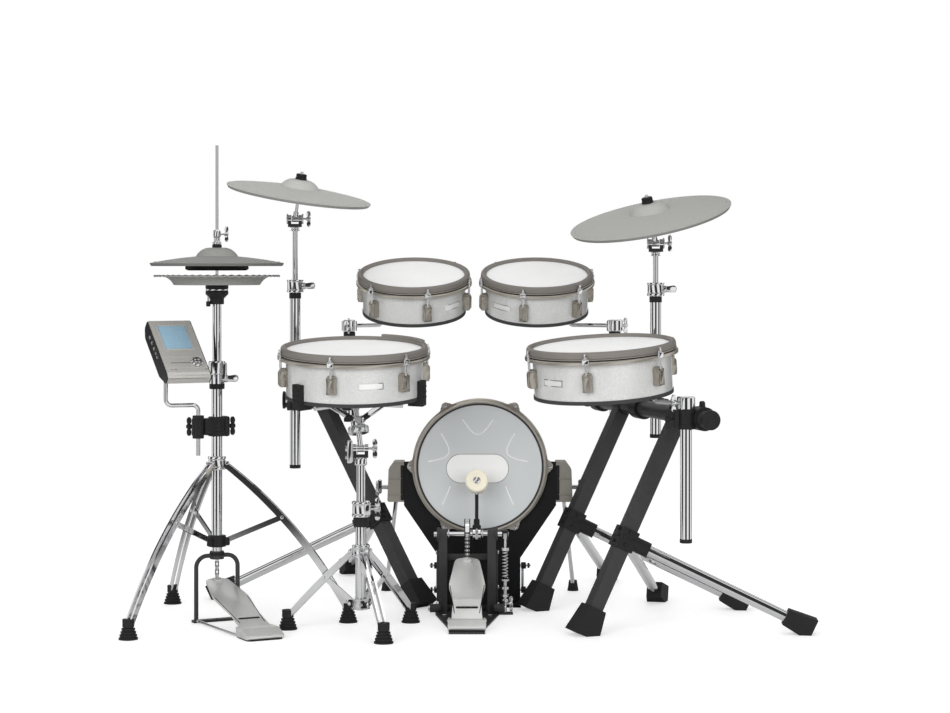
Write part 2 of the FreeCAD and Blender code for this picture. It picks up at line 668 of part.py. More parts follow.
def tripod(node, base, yaw, reach, hub_z, low_z, tube_core):
    """Upper and lower hubs with three double strap legs and ribbed feet."""
    upper = Part.makeCylinder(HUB_R, HUB_H, V(0, 0, hub_z - HUB_H / 2))
    lower = Part.makeCylinder(HUB_R, HUB_H * 0.8, V(0, 0, low_z - HUB_H * 0.4))
    frame = upper.fuse(lower)
    for angle in LEG_ANGLES:
        leg, foot = strap_leg(reach, hub_z, low_z)
        turn = Placement(V(0, 0, 0), Rotation(UP, angle))
        frame = frame.fuse(placed(leg, turn))
        keep("rubber_feet", placed(ribbed_foot(foot).cut(leg), about(base, yaw + angle)))
    stand = placed(frame, about(base, yaw)).cut(tube_core)
    keep(node, stand.removeSplitter())


# Hi-hat stand
HAT_BASE = V(-600, -240, 0)
HAT_YAW = 297.0
HAT_REACH = 308.0
HAT_HUB_Z = 361.0
HAT_LOW_Z = 182.0
HAT_TUBE_LOW = 160.0
HAT_TUBE_TOP = 566.0
HAT_UPPER_LOW = 400.0
HAT_SEAT_Z = 722.0
HAT_SEAT_H = 44.0
HAT_SEAT_R = 26.0
HAT_NECK_R = 16.0
HAT_ROD_R = 3.5
HAT_ROD_TOP = 1084.0
HAT_EDGE_Z = 815.0
HAT_DISH_Z = HAT_SEAT_Z + HAT_SEAT_H
HAT_DISH_R = 143.0
HAT_DISH_FLAT = 98.0
HAT_DISH_H = 22.0
PUCK_R = 72.0
PUCK_LOW = 799.0
PUCK_H = 11.0
HAT_TOE = -8.0
HAT_HEEL = 245.0
HAT_TOE_Z = 94.5
HAT_HEEL_Z = 18.5
BOARD_T = 5.0
PIN_R = 2.5
EAR_T = 8.0
EAR_REACH = 14.0
HAT_HEEL_HALF = 36.0
HAT_FRAME_HALF = 50.0
HAT_FRAME_TOP = 150.0
FRAME_R = 5.0
CHAIN_PITCH = 9.0
CHAIN_W = 9.0
LINK_W = 6.0
LINK_T = 2.0
LINK_LAP = 5.0
HAT_LINKS = 4
CHAIN_OVER_TOE = 1.6
HAT_HEEL_L = 56.0
HAT_RAIL_R = 3.0
HAT_FRAME_BEND = 26.0
FELT_WASHER_R = 11.0
FELT_WASHER_H = 7.0
CLUTCH_R = 8.0
CLUTCH_H = 34.0
CLUTCH_WING_Z = 24.0
STUB_R = 4.0
STUB_L = 26.0


def stand_tube(base, low, top, radius):
    """Stand tube with a clamp collar and wing bolt at its top."""
    tube = tube_between(base + UP * low, base + UP * top, radius, STAND_WALL)
    collar = Part.makeCylinder(radius + STAND_COLLAR, COLLAR_H, base + UP * (top - COLLAR_H))
    bore = Part.makeCylinder(radius, COLLAR_H, base + UP * (top - COLLAR_H))
    wing = Part.makeBox(WING_L, WING_T, WING_H, base + V(radius + STAND_WALL, -WING_T / 2, top - WING_DROP))
    return tube.fuse(collar.fuse(wing).cut(bore)).removeSplitter()


def footboard(toe, heel, toe_z, heel_z, toe_half, wide_half, heel_half, wide_at):
    """Shaped foot plate in the plane of +X, from heel hinge to toe, with its knuckle."""
    length = math.hypot(heel - toe, toe_z - heel_z)
    waist = heel_half * 0.9
    outline = [(0, heel_half), (length * 0.28, waist), (length * wide_at, wide_half),
               (length, toe_half)]
    left = [V(x, y, 0) for x, y in outline]
    right = [V(x, -y, 0) for x, y in reversed(outline)]
    plate = prism(left + right, UP, BOARD_T)
    plate.translate(V(0, 0, -BOARD_T / 2))
    knuckle = Part.makeCylinder(BOARD_T, 2 * heel_half, V(0, -heel_half, 0), AWAY)
    bore = Part.makeCylinder(PIN_R + RUN, 2 * heel_half, V(0, -heel_half, 0), AWAY)
    slope = math.degrees(math.atan2(toe_z - heel_z, heel - toe))
    turn = Rotation(UP, 180).multiply(Rotation(AWAY, -slope))
    place = Placement(V(heel, 0, heel_z), turn)
    return placed(plate.fuse(knuckle).cut(bore).removeSplitter(), place)


def chain(low, links, x):
    """Roller chain of alternating inner and outer links, standing up from its lower end."""
    out = None
    for i in range(links):
        z = low + i * CHAIN_PITCH
        high = CHAIN_PITCH + LINK_LAP
        if i % 2:
            link = Part.makeBox(LINK_W, LINK_T, high, V(x - LINK_W / 2, CHAIN_W / 2 - LINK_T, z))
            link = link.fuse(Part.makeBox(LINK_W, LINK_T, high, V(x - LINK_W / 2, -CHAIN_W / 2, z)))
        else:
            inner = CHAIN_W - 2 * LINK_T
            link = Part.makeBox(LINK_W, inner, high, V(x - LINK_W / 2, -inner / 2, z))
        out = link if out is None else out.fuse(link)
    return out.removeSplitter()


hat_frame = about(HAT_BASE, HAT_YAW)
hat_chain_low = HAT_TOE_Z + CHAIN_OVER_TOE
hat_rod_low = hat_chain_low + HAT_LINKS * CHAIN_PITCH + LINK_LAP
hat_tube = stand_tube(HAT_BASE, HAT_TUBE_LOW, HAT_TUBE_TOP, STAND_R)
hat_core = solid_between(HAT_BASE + UP * HAT_TUBE_LOW, HAT_BASE + UP * HAT_TUBE_TOP, STAND_R)
hat_rod_hole = Part.makeCylinder(HAT_ROD_R + CLEAR, HAT_ROD_TOP, HAT_BASE)
keep("hihat_tube", hat_tube)
tripod("hihat_legs", HAT_BASE, HAT_YAW, HAT_REACH, HAT_HUB_Z, HAT_LOW_Z,
       hat_core.fuse(Part.makeCylinder(STAND_R, HAT_TUBE_LOW, HAT_BASE)))
upper_r = STAND_R - STAND_WALL - RUN
hat_upper_low = HAT_BASE + UP * HAT_UPPER_LOW
hat_upper_top = HAT_BASE + UP * HAT_SEAT_Z
keep("hihat_upper_tube", tube_between(hat_upper_low, hat_upper_top, upper_r, STAND_WALL))
seat = lathe([(0, 0), (HAT_NECK_R, 0), (HAT_NECK_R, HAT_SEAT_H * 0.32), (HAT_SEAT_R, HAT_SEAT_H * 0.55),
              (HAT_SEAT_R, HAT_SEAT_H), (0, HAT_SEAT_H)])
seat.translate(HAT_BASE + UP * HAT_SEAT_Z)
stub = Part.makeCylinder(STUB_R, STUB_L, HAT_BASE + V(-HAT_NECK_R - STUB_R, -STUB_R, HAT_SEAT_Z + STUB_R))
keep("hihat_seat", seat.fuse(stub).cut(hat_rod_hole).removeSplitter())
dish_rim = HAT_DISH_H
dish = lathe_wire([
    line_rz((HAT_ROD_R + 2, 0), (HAT_DISH_FLAT, 0)),
    arc_rz((HAT_DISH_FLAT, 0), (HAT_DISH_FLAT + 8, dish_rim * 0.5), (HAT_DISH_R, dish_rim - 3)),
    line_rz((HAT_DISH_R, dish_rim - 3), (HAT_DISH_R, dish_rim)),
    line_rz((HAT_DISH_R, dish_rim), (HAT_DISH_FLAT, dish_rim - 6)),
    line_rz((HAT_DISH_FLAT, dish_rim - 6), (HAT_ROD_R + 2, dish_rim - 6)),
    line_rz((HAT_ROD_R + 2, dish_rim - 6), (HAT_ROD_R + 2, 0)),
])
dish.translate(HAT_BASE + UP * HAT_DISH_Z)
keep("hihat_bottom_cymbal", dish)
hat = cymbal(HAT_R)
hat.translate(HAT_BASE + UP * HAT_EDGE_Z)
keep("hihat_top_cymbal", hat)
bell_top = HAT_EDGE_Z + BOW_H + BELL_H
rod = solid_between(HAT_BASE + UP * hat_rod_low, HAT_BASE + UP * HAT_ROD_TOP, HAT_ROD_R)
keep("hihat_rod", rod)
rod_core = Part.makeCylinder(HAT_ROD_R, HAT_ROD_TOP, HAT_BASE)
puck = Part.makeCylinder(PUCK_R, PUCK_H, HAT_BASE + UP * PUCK_LOW)
neck = Part.makeCylinder(CYMBAL_HOLE - CLEAR, bell_top - PUCK_LOW, HAT_BASE + UP * PUCK_LOW)
felt = Part.makeCylinder(FELT_WASHER_R, FELT_WASHER_H, HAT_BASE + UP * bell_top)
clutch = Part.makeCylinder(CLUTCH_R, CLUTCH_H, HAT_BASE + UP * (bell_top + FELT_WASHER_H))
wing_at = HAT_BASE + V(CLUTCH_R - 1, -WING_T / 2, bell_top + CLUTCH_WING_Z)
clutch_wing = Part.makeBox(WING_L, WING_T, WING_H, wing_at)
keep("hihat_clutch", puck.fuse(neck).fuse(felt).fuse(clutch).fuse(clutch_wing).cut(rod_core).removeSplitter())
frame_points = [V(0, -HAT_FRAME_HALF, 4), V(0, -HAT_FRAME_HALF, HAT_FRAME_TOP),
                V(0, HAT_FRAME_HALF, HAT_FRAME_TOP), V(0, HAT_FRAME_HALF, 4)]
bow = bent_bar(frame_points, FRAME_R, HAT_FRAME_BEND)
cross = Part.makeBox(18, 2 * HAT_FRAME_HALF + 16, 6, V(-9, -HAT_FRAME_HALF - 8, 0))
guide = solid_between(V(0, 0, HAT_FRAME_TOP - 8), V(0, 0, HAT_TUBE_LOW), HUB_R - 3)
keep("hihat_frame", placed(bow.fuse(cross).fuse(guide), hat_frame).cut(hat_rod_hole).removeSplitter())
board = footboard(HAT_TOE, HAT_HEEL, HAT_TOE_Z, HAT_HEEL_Z, 26, 42, HAT_HEEL_HALF, 0.62)
keep("hihat_footboard", placed(board, hat_frame))


def heel_plate(heel, heel_z, low, half, length):
    """Heel plate in the plane of +X with two ears and the hinge pin of the footboard."""
    high = heel_z + BOARD_T - low
    start = heel + BOARD_T + 2 * CLEAR
    wide = half + EAR_T + CLEAR
    out = Part.makeBox(length, 2 * wide, high, V(start, -wide, low))
    for side in (-1, 1):
        inner = min(side * (half + CLEAR), side * wide)
        out = out.fuse(Part.makeBox(start - heel + EAR_REACH, EAR_T, high, V(heel - EAR_REACH, inner, low)))
    pin_at = V(heel, -wide, heel_z)
    return out.fuse(Part.makeCylinder(PIN_R, 2 * wide, pin_at, AWAY))


heel = heel_plate(HAT_HEEL, HAT_HEEL_Z, 0, HAT_HEEL_HALF, HAT_HEEL_L)
for side in (-1, 1):
    ear_at = V(HAT_HEEL - 10, side * (HAT_HEEL_HALF + EAR_T / 2), FRAME_R)
    heel = heel.fuse(solid_between(V(0, side * HAT_FRAME_HALF, FRAME_R), ear_at, HAT_RAIL_R))
heel = heel.cut(cross).cut(bow)
heel = max(heel.Solids, key=lambda s: s.Volume)
keep("hihat_heel", placed(heel, hat_frame).removeSplitter())
keep("hihat_chain", placed(chain(hat_chain_low, HAT_LINKS, 0), hat_frame))

# Snare stand
SNARE_BASE = V(-265, -385, 0)
SNARE_YAW = -10.0
SNARE_REACH = 174.0
SNARE_HUB_Z = 179.0
SNARE_LOW_Z = 62.0
SNARE_TUBE_LOW = 48.0
SNARE_TUBE_TOP = 285.0
SNARE_UPPER_LOW = 120.0
SNARE_PIVOT_Z = 405.0
BASKET_ANGLES = (102.0, 222.0, 342.0)
ARM_W = 12.0
ARM_T = 4.0
GRIP_W = 26.0
GRIP_T = 12.0
GRIP_H = 44.0
GRIP_FOOT = 22.0
GRIP_LIP = 12.0
KNURL_R = 22.0
KNURL_H = 14.0
BASKET_HUB_R = 24.0
BASKET_HUB_H = 10.0


keep("snare_stand_tube", stand_tube(SNARE_BASE, SNARE_TUBE_LOW, SNARE_TUBE_TOP, STAND_R))
snare_core = solid_between(SNARE_BASE + UP * SNARE_TUBE_LOW, SNARE_BASE + UP * SNARE_TUBE_TOP, STAND_R)
tripod("snare_stand_legs", SNARE_BASE, SNARE_YAW, SNARE_REACH, SNARE_HUB_Z, SNARE_LOW_Z, snare_core)
snare_pivot = SNARE_BASE + UP * SNARE_PIVOT_Z
fork, knuckle = yoke_at(snare_pivot)
snare_upper_low = SNARE_BASE + UP * SNARE_UPPER_LOW
snare_upper_top = snare_pivot - UP * (TILTER_R + YOKE_T + 2)
upper = tube_between(snare_upper_low, snare_upper_top, upper_r, STAND_WALL)
keep("snare_stand_upper", upper.fuse(fork).removeSplitter())
shell_low = -HEAD_THICK - SNARE_DEPTH
arm_top = shell_low - CLEAR
basket_centre = SNARE_PLACE.multVec(V(0, 0, arm_top - ARM_T))
stem_line = basket_centre - snare_pivot
basket = knuckle.fuse(solid_between(snare_pivot, basket_centre, TILTER_R - 4))
nut_at = snare_pivot + stem_line * 0.3
basket = basket.fuse(solid_between(nut_at, nut_at + V(stem_line).normalize() * KNURL_H, KNURL_R))
hub_local = Part.makeCylinder(BASKET_HUB_R, BASKET_HUB_H, V(0, 0, arm_top - BASKET_HUB_H))
basket = basket.fuse(placed(hub_local, SNARE_PLACE))
sleeve_local = SNARE_PLACE.inverse().multVec(snare_pivot + stem_line * 0.52)
for angle in BASKET_ANGLES:
    turn = Placement(V(0, 0, 0), Rotation(UP, angle))
    flat = Part.makeBox(SNARE_R + GRIP_T - 4, ARM_W, ARM_T, V(0, -ARM_W / 2, arm_top - ARM_T))
    end = turn.multVec(V(SNARE_R * 0.55, 0, arm_top - ARM_T / 2))
    strut = square_bar(sleeve_local, end, ARM_W, ARM_T, turn.multVec(AWAY))
    basket = basket.fuse(placed(placed(flat, turn), SNARE_PLACE)).fuse(placed(strut, SNARE_PLACE))
    grip_at = V(SNARE_R - GRIP_FOOT, -GRIP_W / 2, arm_top - GRIP_LIP)
    grip = Part.makeBox(GRIP_T + GRIP_FOOT, GRIP_W, GRIP_H + GRIP_LIP, grip_at)
    room = Part.makeCylinder(SNARE_R + CLEAR, GRIP_H + GRIP_LIP, V(0, 0, arm_top))
    slot = Part.makeBox(SNARE_R + GRIP_T - 4, ARM_W, ARM_T, V(0, -ARM_W / 2, arm_top - ARM_T))
    keep("snare_grips", placed(placed(grip.cut(room).cut(slot), turn), SNARE_PLACE))
keep("snare_basket", basket.removeSplitter())

# Kick pedal
PEDAL_X = -30.0
AXLE_Y = -110.0
AXLE_Z = 182.0
AXLE_R = 6.0
AXLE_HALF = 78.0
PEDAL_POST_HALF = 57.0
POST_W = 20.0
POST_D = 26.0
CAM_R = 36.0
CAM_W = 12.0
CAM_HOLES = (0, 120, 240)
CAM_HOLES_R = 22.0
CAM_HOLE_R = 7.0
BEATER_X = -8.0
BEATER_LEAN = 15.0
BEATER_REACH = 124.0
FELT_R = 27.0
FELT_L = 42.0
PEDAL_TOE = 140.0
PEDAL_HEEL = 365.0
PEDAL_HEEL_HALF = 35.0
PEDAL_TOE_Z = 128.5
PEDAL_HEEL_Z = 20.5
PEDAL_BASE_T = 4.0
PEDAL_LINKS = 6
SPRING_X = 88.0
SPRING_R = 6.0
SPRING_WIRE = 1.1
SPRING_LOW = 84.0
SPRING_TURNS = 8
SPRING_PITCH = 7.7
LEVER = 26.0
BASE_HALF = 74.0
BASE_HEEL_HALF = 40.0
BASE_TAPER = 40.0
BASE_BEHIND = 60.0
BEATER_ROD_R = 3.5
BEATER_HUB_R = 15.0
BEATER_HUB_W = 18.0
PEDAL_HEEL_L = 46.0
TENSION_R = 4.0
TENSION_NUT_R = 9.0
HOOK_R = SPRING_R + 3.0

pedal_frame = about(V(PEDAL_X, 0, 0), 270)
floor_edge = HOOP_SKIRT + CLEAR - BASE_DEPTH / 2
base_outline = [(BASE_HALF, floor_edge), (BASE_HALF, AXLE_Y - BASE_TAPER), (BASE_HEEL_HALF, -PEDAL_HEEL),
                (BASE_HEEL_HALF, -PEDAL_HEEL - BASE_BEHIND)]
base_left = [V(PEDAL_X - x, y, 0) for x, y in reversed(base_outline)]
base_right = [V(PEDAL_X + x, y, 0) for x, y in base_outline]
lug = Part.makeBox(36, 24, PEDAL_BASE_T, V(PEDAL_X + 70, AXLE_Y - LEVER - 12, 0))
keep("pedal_base", prism(base_right + base_left, UP, PEDAL_BASE_T).fuse(lug).removeSplitter())
axle_hole = Part.makeCylinder(AXLE_R + RUN, 400, V(PEDAL_X - 200, AXLE_Y, AXLE_Z), ACROSS)
for side in (-1, 1):
    middle = PEDAL_X + side * PEDAL_POST_HALF
    post = prism([V(middle - POST_W / 2, AXLE_Y - POST_D * 0.8, PEDAL_BASE_T),
                  V(middle - POST_W / 2, AXLE_Y + POST_D * 0.8, PEDAL_BASE_T),
                  V(middle - POST_W / 2, AXLE_Y + POST_D / 2, AXLE_Z),
                  V(middle - POST_W / 2, AXLE_Y - POST_D / 2, AXLE_Z)], ACROSS, POST_W)
    crown = Part.makeCylinder(POST_D / 2, POST_W, V(middle - POST_W / 2, AXLE_Y, AXLE_Z), ACROSS)
    keep("pedal_frame", post.fuse(crown).cut(axle_hole).removeSplitter())
axle = Part.makeCylinder(AXLE_R, AXLE_HALF + SPRING_X + 8, V(PEDAL_X - AXLE_HALF, AXLE_Y, AXLE_Z), ACROSS)
cam = Part.makeCylinder(CAM_R, CAM_W, V(PEDAL_X - CAM_W / 2, AXLE_Y, AXLE_Z), ACROSS)
for angle in CAM_HOLES:
    hole = V(PEDAL_X - CAM_W / 2, AXLE_Y, AXLE_Z) + Rotation(ACROSS, angle).multVec(V(0, CAM_HOLES_R, 0))
    cam = cam.cut(Part.makeCylinder(CAM_HOLE_R, CAM_W, hole, ACROSS))
lean = V(0, math.sin(math.radians(BEATER_LEAN)), math.cos(math.radians(BEATER_LEAN)))
strike = V(0, lean.z, -lean.y)
beater_foot = V(BEATER_X, AXLE_Y, AXLE_Z)
beater_end = beater_foot + lean * BEATER_REACH
hub = Part.makeCylinder(BEATER_HUB_R, BEATER_HUB_W, V(BEATER_X - BEATER_HUB_W / 2, AXLE_Y, AXLE_Z), ACROSS)
beater_rod = solid_between(beater_foot, beater_end, BEATER_ROD_R)
lever = Part.makeBox(8, LEVER + 6, 12, V(PEDAL_X + SPRING_X - 4, AXLE_Y - LEVER - 6, AXLE_Z - 6))
spring_top = SPRING_LOW + SPRING_TURNS * SPRING_PITCH
hook_at = V(PEDAL_X + SPRING_X, AXLE_Y - LEVER, 0)
hanger = solid_between(hook_at + UP * (spring_top + 8), hook_at + UP * (AXLE_Z - 5), 3)
hanger = hanger.fuse(Part.makeCylinder(HOOK_R, 7, hook_at + UP * (spring_top + 2)))
keep("pedal_axle", axle.fuse(cam).fuse(hub).fuse(beater_rod).fuse(lever).fuse(hanger).removeSplitter())
felt = solid_between(beater_end - strike * (FELT_L / 2), beater_end + strike * (FELT_L / 2), FELT_R)
keep("pedal_beater", felt.cut(beater_rod))
kick_board = footboard(PEDAL_TOE, PEDAL_HEEL, PEDAL_TOE_Z, PEDAL_HEEL_Z, 27, 42, PEDAL_HEEL_HALF, 0.55)
keep("pedal_footboard", placed(kick_board, pedal_frame))
heel_block = heel_plate(PEDAL_HEEL, PEDAL_HEEL_Z, PEDAL_BASE_T, PEDAL_HEEL_HALF, PEDAL_HEEL_L)
keep("pedal_heel", placed(heel_block, pedal_frame).removeSplitter())
chain_x = -AXLE_Y + CAM_R + CLEAR + LINK_W / 2
keep("pedal_chain", placed(chain(PEDAL_TOE_Z + CLEAR, PEDAL_LINKS, chain_x), pedal_frame))


def coil(base, radius, wire, pitch, turns):
    """Close coil spring as one tube on quarter-turn arcs of a helix."""
    quarter = math.pi / 2
    steps = turns * 4
    points = []
    for i in range(2 * steps + 1):
        angle = i * quarter / 2
        rise = pitch * angle / (2 * math.pi)
        points.append(base + V(radius * math.cos(angle), radius * math.sin(angle), rise))
    edges = [Part.Arc(*points[2 * i:2 * i + 3]).toShape() for i in range(steps)]
    profile = Part.Wire(Part.makeCircle(wire, points[0], points[1] - points[0]))
    gap = min((points[i] - points[i + 8]).Length for i in range(len(points) - 8)) - 2 * wire
    print("least gap between spring turns", round(gap, 2))
    return Part.Wire(edges).makePipeShell([profile], True, False)


keep("pedal_spring", coil(hook_at + UP * SPRING_LOW, SPRING_R, SPRING_WIRE, SPRING_PITCH, SPRING_TURNS))
tension = solid_between(hook_at + UP * PEDAL_BASE_T, hook_at + UP * (SPRING_LOW - 7), TENSION_R)
tension = tension.fuse(Part.makeCylinder(HOOK_R, 5, hook_at + UP * (SPRING_LOW - 7)))
tension = tension.fuse(Part.makeCylinder(TENSION_NUT_R, 6, hook_at + UP * (SPRING_LOW - 26)))
keep("pedal_tensioner", tension.removeSplitter())

# Sound module on the hi-hat stand
MODULE_CENTRE = V(-674, -330, 625)
MODULE_YAW = 28.0
MODULE_LEAN = 42.0
MODULE_W = 100.0
MODULE_L = 180.0
MODULE_T = 38.0
MODULE_LIP = 14.0
MODULE_HEEL = 40.0
SCREEN_W = 66.0
SCREEN_L = 75.6
SCREEN_FROM_TOP = 16.2
SCREEN_DEEP = 2.0
DIAL_R = 11.0
DIAL_H = 5.0
DIAL_FROM_SIDE = 22.0
DIAL_FROM_END = 44.0
MODULE_ARM_R = 4.8
MODULE_PIVOT = V(-640, -262, 0)
MODULE_ELBOW = V(-710, -290, 0)
MODULE_CLAMP_Z = 444.0
MODULE_ARM_LOW = 379.0
MODULE_ELBOW_Z = 494.0

module_place = Placement(MODULE_CENTRE, Rotation(UP, MODULE_YAW).multiply(Rotation(ACROSS, MODULE_LEAN)))
half_w = MODULE_W / 2
half_l = MODULE_L / 2
side_outline = [V(-half_w, -half_l, -4), V(-half_w, -half_l + MODULE_LIP, 0), V(-half_w, half_l, 0),
                V(-half_w, half_l, -MODULE_T * 0.6), V(-half_w, half_l - 16, -MODULE_T),
                V(-half_w, -half_l + MODULE_HEEL, -MODULE_T), V(-half_w, -half_l, -MODULE_T * 0.55)]
module = prism(side_outline, ACROSS, MODULE_W)
window_at = V(-SCREEN_W / 2, half_l - SCREEN_FROM_TOP - SCREEN_L, -SCREEN_DEEP)
window = Part.makeBox(SCREEN_W, SCREEN_L, SCREEN_DEEP, window_at)
dial = Part.makeCylinder(DIAL_R, DIAL_H, V(half_w - DIAL_FROM_SIDE, -half_l + DIAL_FROM_END, 0))
module = placed(module.cut(window).fuse(dial).removeSplitter(), module_place)
keep("drum_module", module)
arm = bent_bar([MODULE_PIVOT + UP * MODULE_ARM_LOW, MODULE_PIVOT + UP * MODULE_ELBOW_Z,
                MODULE_ELBOW + UP * MODULE_ELBOW_Z, MODULE_ELBOW + UP * MODULE_CENTRE.z], MODULE_ARM_R, 14.0)
trimmed = arm.cut(module)
keep("module_arm", min(trimmed.Solids, key=lambda s: s.BoundBox.ZMin))
clamp_low = MODULE_CLAMP_Z - CLAMP_H / 2
pole_ring = Part.makeCylinder(STAND_R + CLAMP_WALL, CLAMP_H, HAT_BASE + UP * clamp_low)
arm_ring = Part.makeCylinder(MODULE_ARM_R + CLAMP_WALL, CLAMP_H, MODULE_PIVOT + UP * clamp_low)
web = square_bar(HAT_BASE + UP * MODULE_CLAMP_Z, MODULE_PIVOT + UP * MODULE_CLAMP_Z, CLAMP_H * 0.6, 18, UP)
holder = pole_ring.fuse(arm_ring).fuse(web)
holder = holder.cut(Part.makeCylinder(STAND_R + RUN, CLAMP_H, HAT_BASE + UP * clamp_low))
keep("rack_clamps", holder.cut(Part.makeCylinder(MODULE_ARM_R + RUN, CLAMP_H, MODULE_PIVOT + UP * clamp_low)))

os.makedirs("parts", exist_ok=True)
for node, solids in parts.items():
    shape = solids[0] if len(solids) == 1 else Part.makeCompound(solids)
    shape.exportStep("parts/" + node + ".step")
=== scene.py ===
import bmesh
import bpy
import json
from math import atan2, cos, degrees, hypot, pi, radians, sin
from mathutils import Matrix, Vector


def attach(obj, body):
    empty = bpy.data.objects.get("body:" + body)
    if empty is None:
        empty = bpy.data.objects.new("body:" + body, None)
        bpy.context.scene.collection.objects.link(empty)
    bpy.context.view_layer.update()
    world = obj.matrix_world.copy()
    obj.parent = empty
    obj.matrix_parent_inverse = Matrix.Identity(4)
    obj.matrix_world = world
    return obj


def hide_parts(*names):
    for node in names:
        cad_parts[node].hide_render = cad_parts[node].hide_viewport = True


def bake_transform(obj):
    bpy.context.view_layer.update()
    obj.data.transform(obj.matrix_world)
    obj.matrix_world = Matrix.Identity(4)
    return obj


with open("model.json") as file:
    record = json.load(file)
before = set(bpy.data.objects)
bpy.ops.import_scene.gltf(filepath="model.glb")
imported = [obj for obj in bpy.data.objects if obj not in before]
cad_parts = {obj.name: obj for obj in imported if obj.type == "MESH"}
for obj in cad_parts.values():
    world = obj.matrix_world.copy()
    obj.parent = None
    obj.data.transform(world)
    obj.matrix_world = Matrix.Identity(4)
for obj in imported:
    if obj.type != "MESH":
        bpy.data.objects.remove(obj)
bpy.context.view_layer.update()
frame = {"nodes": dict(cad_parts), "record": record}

NODES = frame["nodes"]


# Materials

BUMP_DEPTH = 0.0004
RING_PITCH = 0.0021
WHITE = (1, 1, 1, 1)
RUBBER_GREY = (0.25, 0.25, 0.235)


def feed(tree, node, inputs):
    """Set a node's inputs by name or number; a socket as value makes a link."""
    for key, value in inputs.items():
        if isinstance(value, bpy.types.NodeSocket):
            tree.links.new(value, node.inputs[key])
        else:
            node.inputs[key].default_value = value


def wire(tree, kind, inputs, out=0):
    """Add a node with its inputs and return one of its outputs."""
    node = tree.nodes.new("ShaderNode" + kind)
    feed(tree, node, inputs)
    return node.outputs[out]


def calc(tree, operation, *values):
    """Math node on numbers and sockets."""
    node = tree.nodes.new("ShaderNodeMath")
    node.operation = operation
    feed(tree, node, dict(enumerate(values)))
    return node.outputs[0]


def length_of(tree, vector):
    node = tree.nodes.new("ShaderNodeVectorMath")
    node.operation = "LENGTH"
    feed(tree, node, {0: vector})
    return node.outputs["Value"]


def smooth_step(tree, value, start, end, low, high):
    node = tree.nodes.new("ShaderNodeMapRange")
    node.interpolation_type = "SMOOTHSTEP"
    feed(tree, node, {"Value": value, "From Min": start, "From Max": end, "To Min": low, "To Max": high})
    return node.outputs["Result"]


def noise(tree, spot, scale, detail=2.0):
    return wire(tree, "TexNoise", {"Vector": spot, "Scale": scale, "Detail": detail}, "Fac")


def ramp(tree, factor, *stops):
    """Colour ramp through stops of place and colour."""
    node = tree.nodes.new("ShaderNodeValToRGB")
    feed(tree, node, {"Fac": factor})
    elements = node.color_ramp.elements
    for i, (place, color) in ((0, stops[0]), (1, stops[-1])):
        elements[i].position = place
        elements[i].color = color
    for place, color in stops[1:-1]:
        elements.new(place).color = color
    return node.outputs["Color"]


def relief(tree, height, strength, depth=BUMP_DEPTH):
    return wire(tree, "Bump", {"Height": height, "Strength": strength, "Distance": depth}, "Normal")


def material(name):
    """New node material with its tree and shader."""
    made = bpy.data.materials.new(name)
    made.use_nodes = True
    return made, made.node_tree, made.node_tree.nodes["Principled BSDF"]


def coords(tree, place=None):
    """Object coordinates, moved into the frame of a turned piece where place is given."""
    spot = wire(tree, "TexCoord", {}, "Object")
    if place is None:
        return spot
    back = place.inverted()
    return wire(tree, "Mapping", {"Vector": spot, "Location": back.translation, "Rotation": back.to_euler()})


def tint(color, k):
    return (*(min(1, part * k) for part in color), 1)


def surface(name, color, rough, metal=0.0, vary=0.08, scale=60.0, bump=0.1,
            spread=0.08, stretch=(1, 1, 1), coat=0.0, sheen=0.0, spec=0.5):
    """Base material: colour and roughness drift with noise, fine grain in the bump."""
    made, tree, shader = material(name)
    spot = wire(tree, "Mapping", {"Vector": coords(tree), "Scale": stretch})
    broad = noise(tree, spot, scale * 0.12, 5)
    fine = noise(tree, spot, scale * 8, 3)
    both = calc(tree, "MULTIPLY_ADD", fine, 0.5, calc(tree, "MULTIPLY", broad, 0.5))
    gloss = {"Value": broad, "To Min": max(0.02, rough - spread), "To Max": min(1.0, rough + spread)}
    feed(tree, shader, {
        "Base Color": ramp(tree, both, (0.3, tint(color, 1 - vary)), (0.7, tint(color, 1 + vary))),
        "Roughness": wire(tree, "MapRange", gloss), "Normal": relief(tree, fine, bump), "Metallic": metal,
        "Coat Weight": coat, "Coat Roughness": 0.08, "Sheen Weight": sheen, "Specular IOR Level": spec})
    return made


def sparkle_wrap():
    """Silver-white wrap: tiny bright and dark flakes under a clear coat."""
    made, tree, shader = material("sparkle_wrap")
    spot = coords(tree)
    flake = wire(tree, "TexVoronoi", {"Vector": spot, "Scale": 1300}, "Color")
    red, green, blue = wire(tree, "SeparateColor", {"Color": flake}).node.outputs
    feed(tree, shader, {
        "Base Color": ramp(tree, red, (0, (0.45, 0.455, 0.445, 1)), (0.5, (0.56, 0.565, 0.555, 1)),
                           (1, (0.68, 0.685, 0.67, 1))),
        "Metallic": wire(tree, "MapRange", {"Value": green, "From Min": 0.55, "To Max": 0.45}),
        "Roughness": wire(tree, "MapRange", {"Value": noise(tree, spot, 26), "To Min": 0.28, "To Max": 0.5}),
        "Normal": relief(tree, blue, 0.15), "Coat Weight": 0.7, "Coat Roughness": 0.06})
    return made


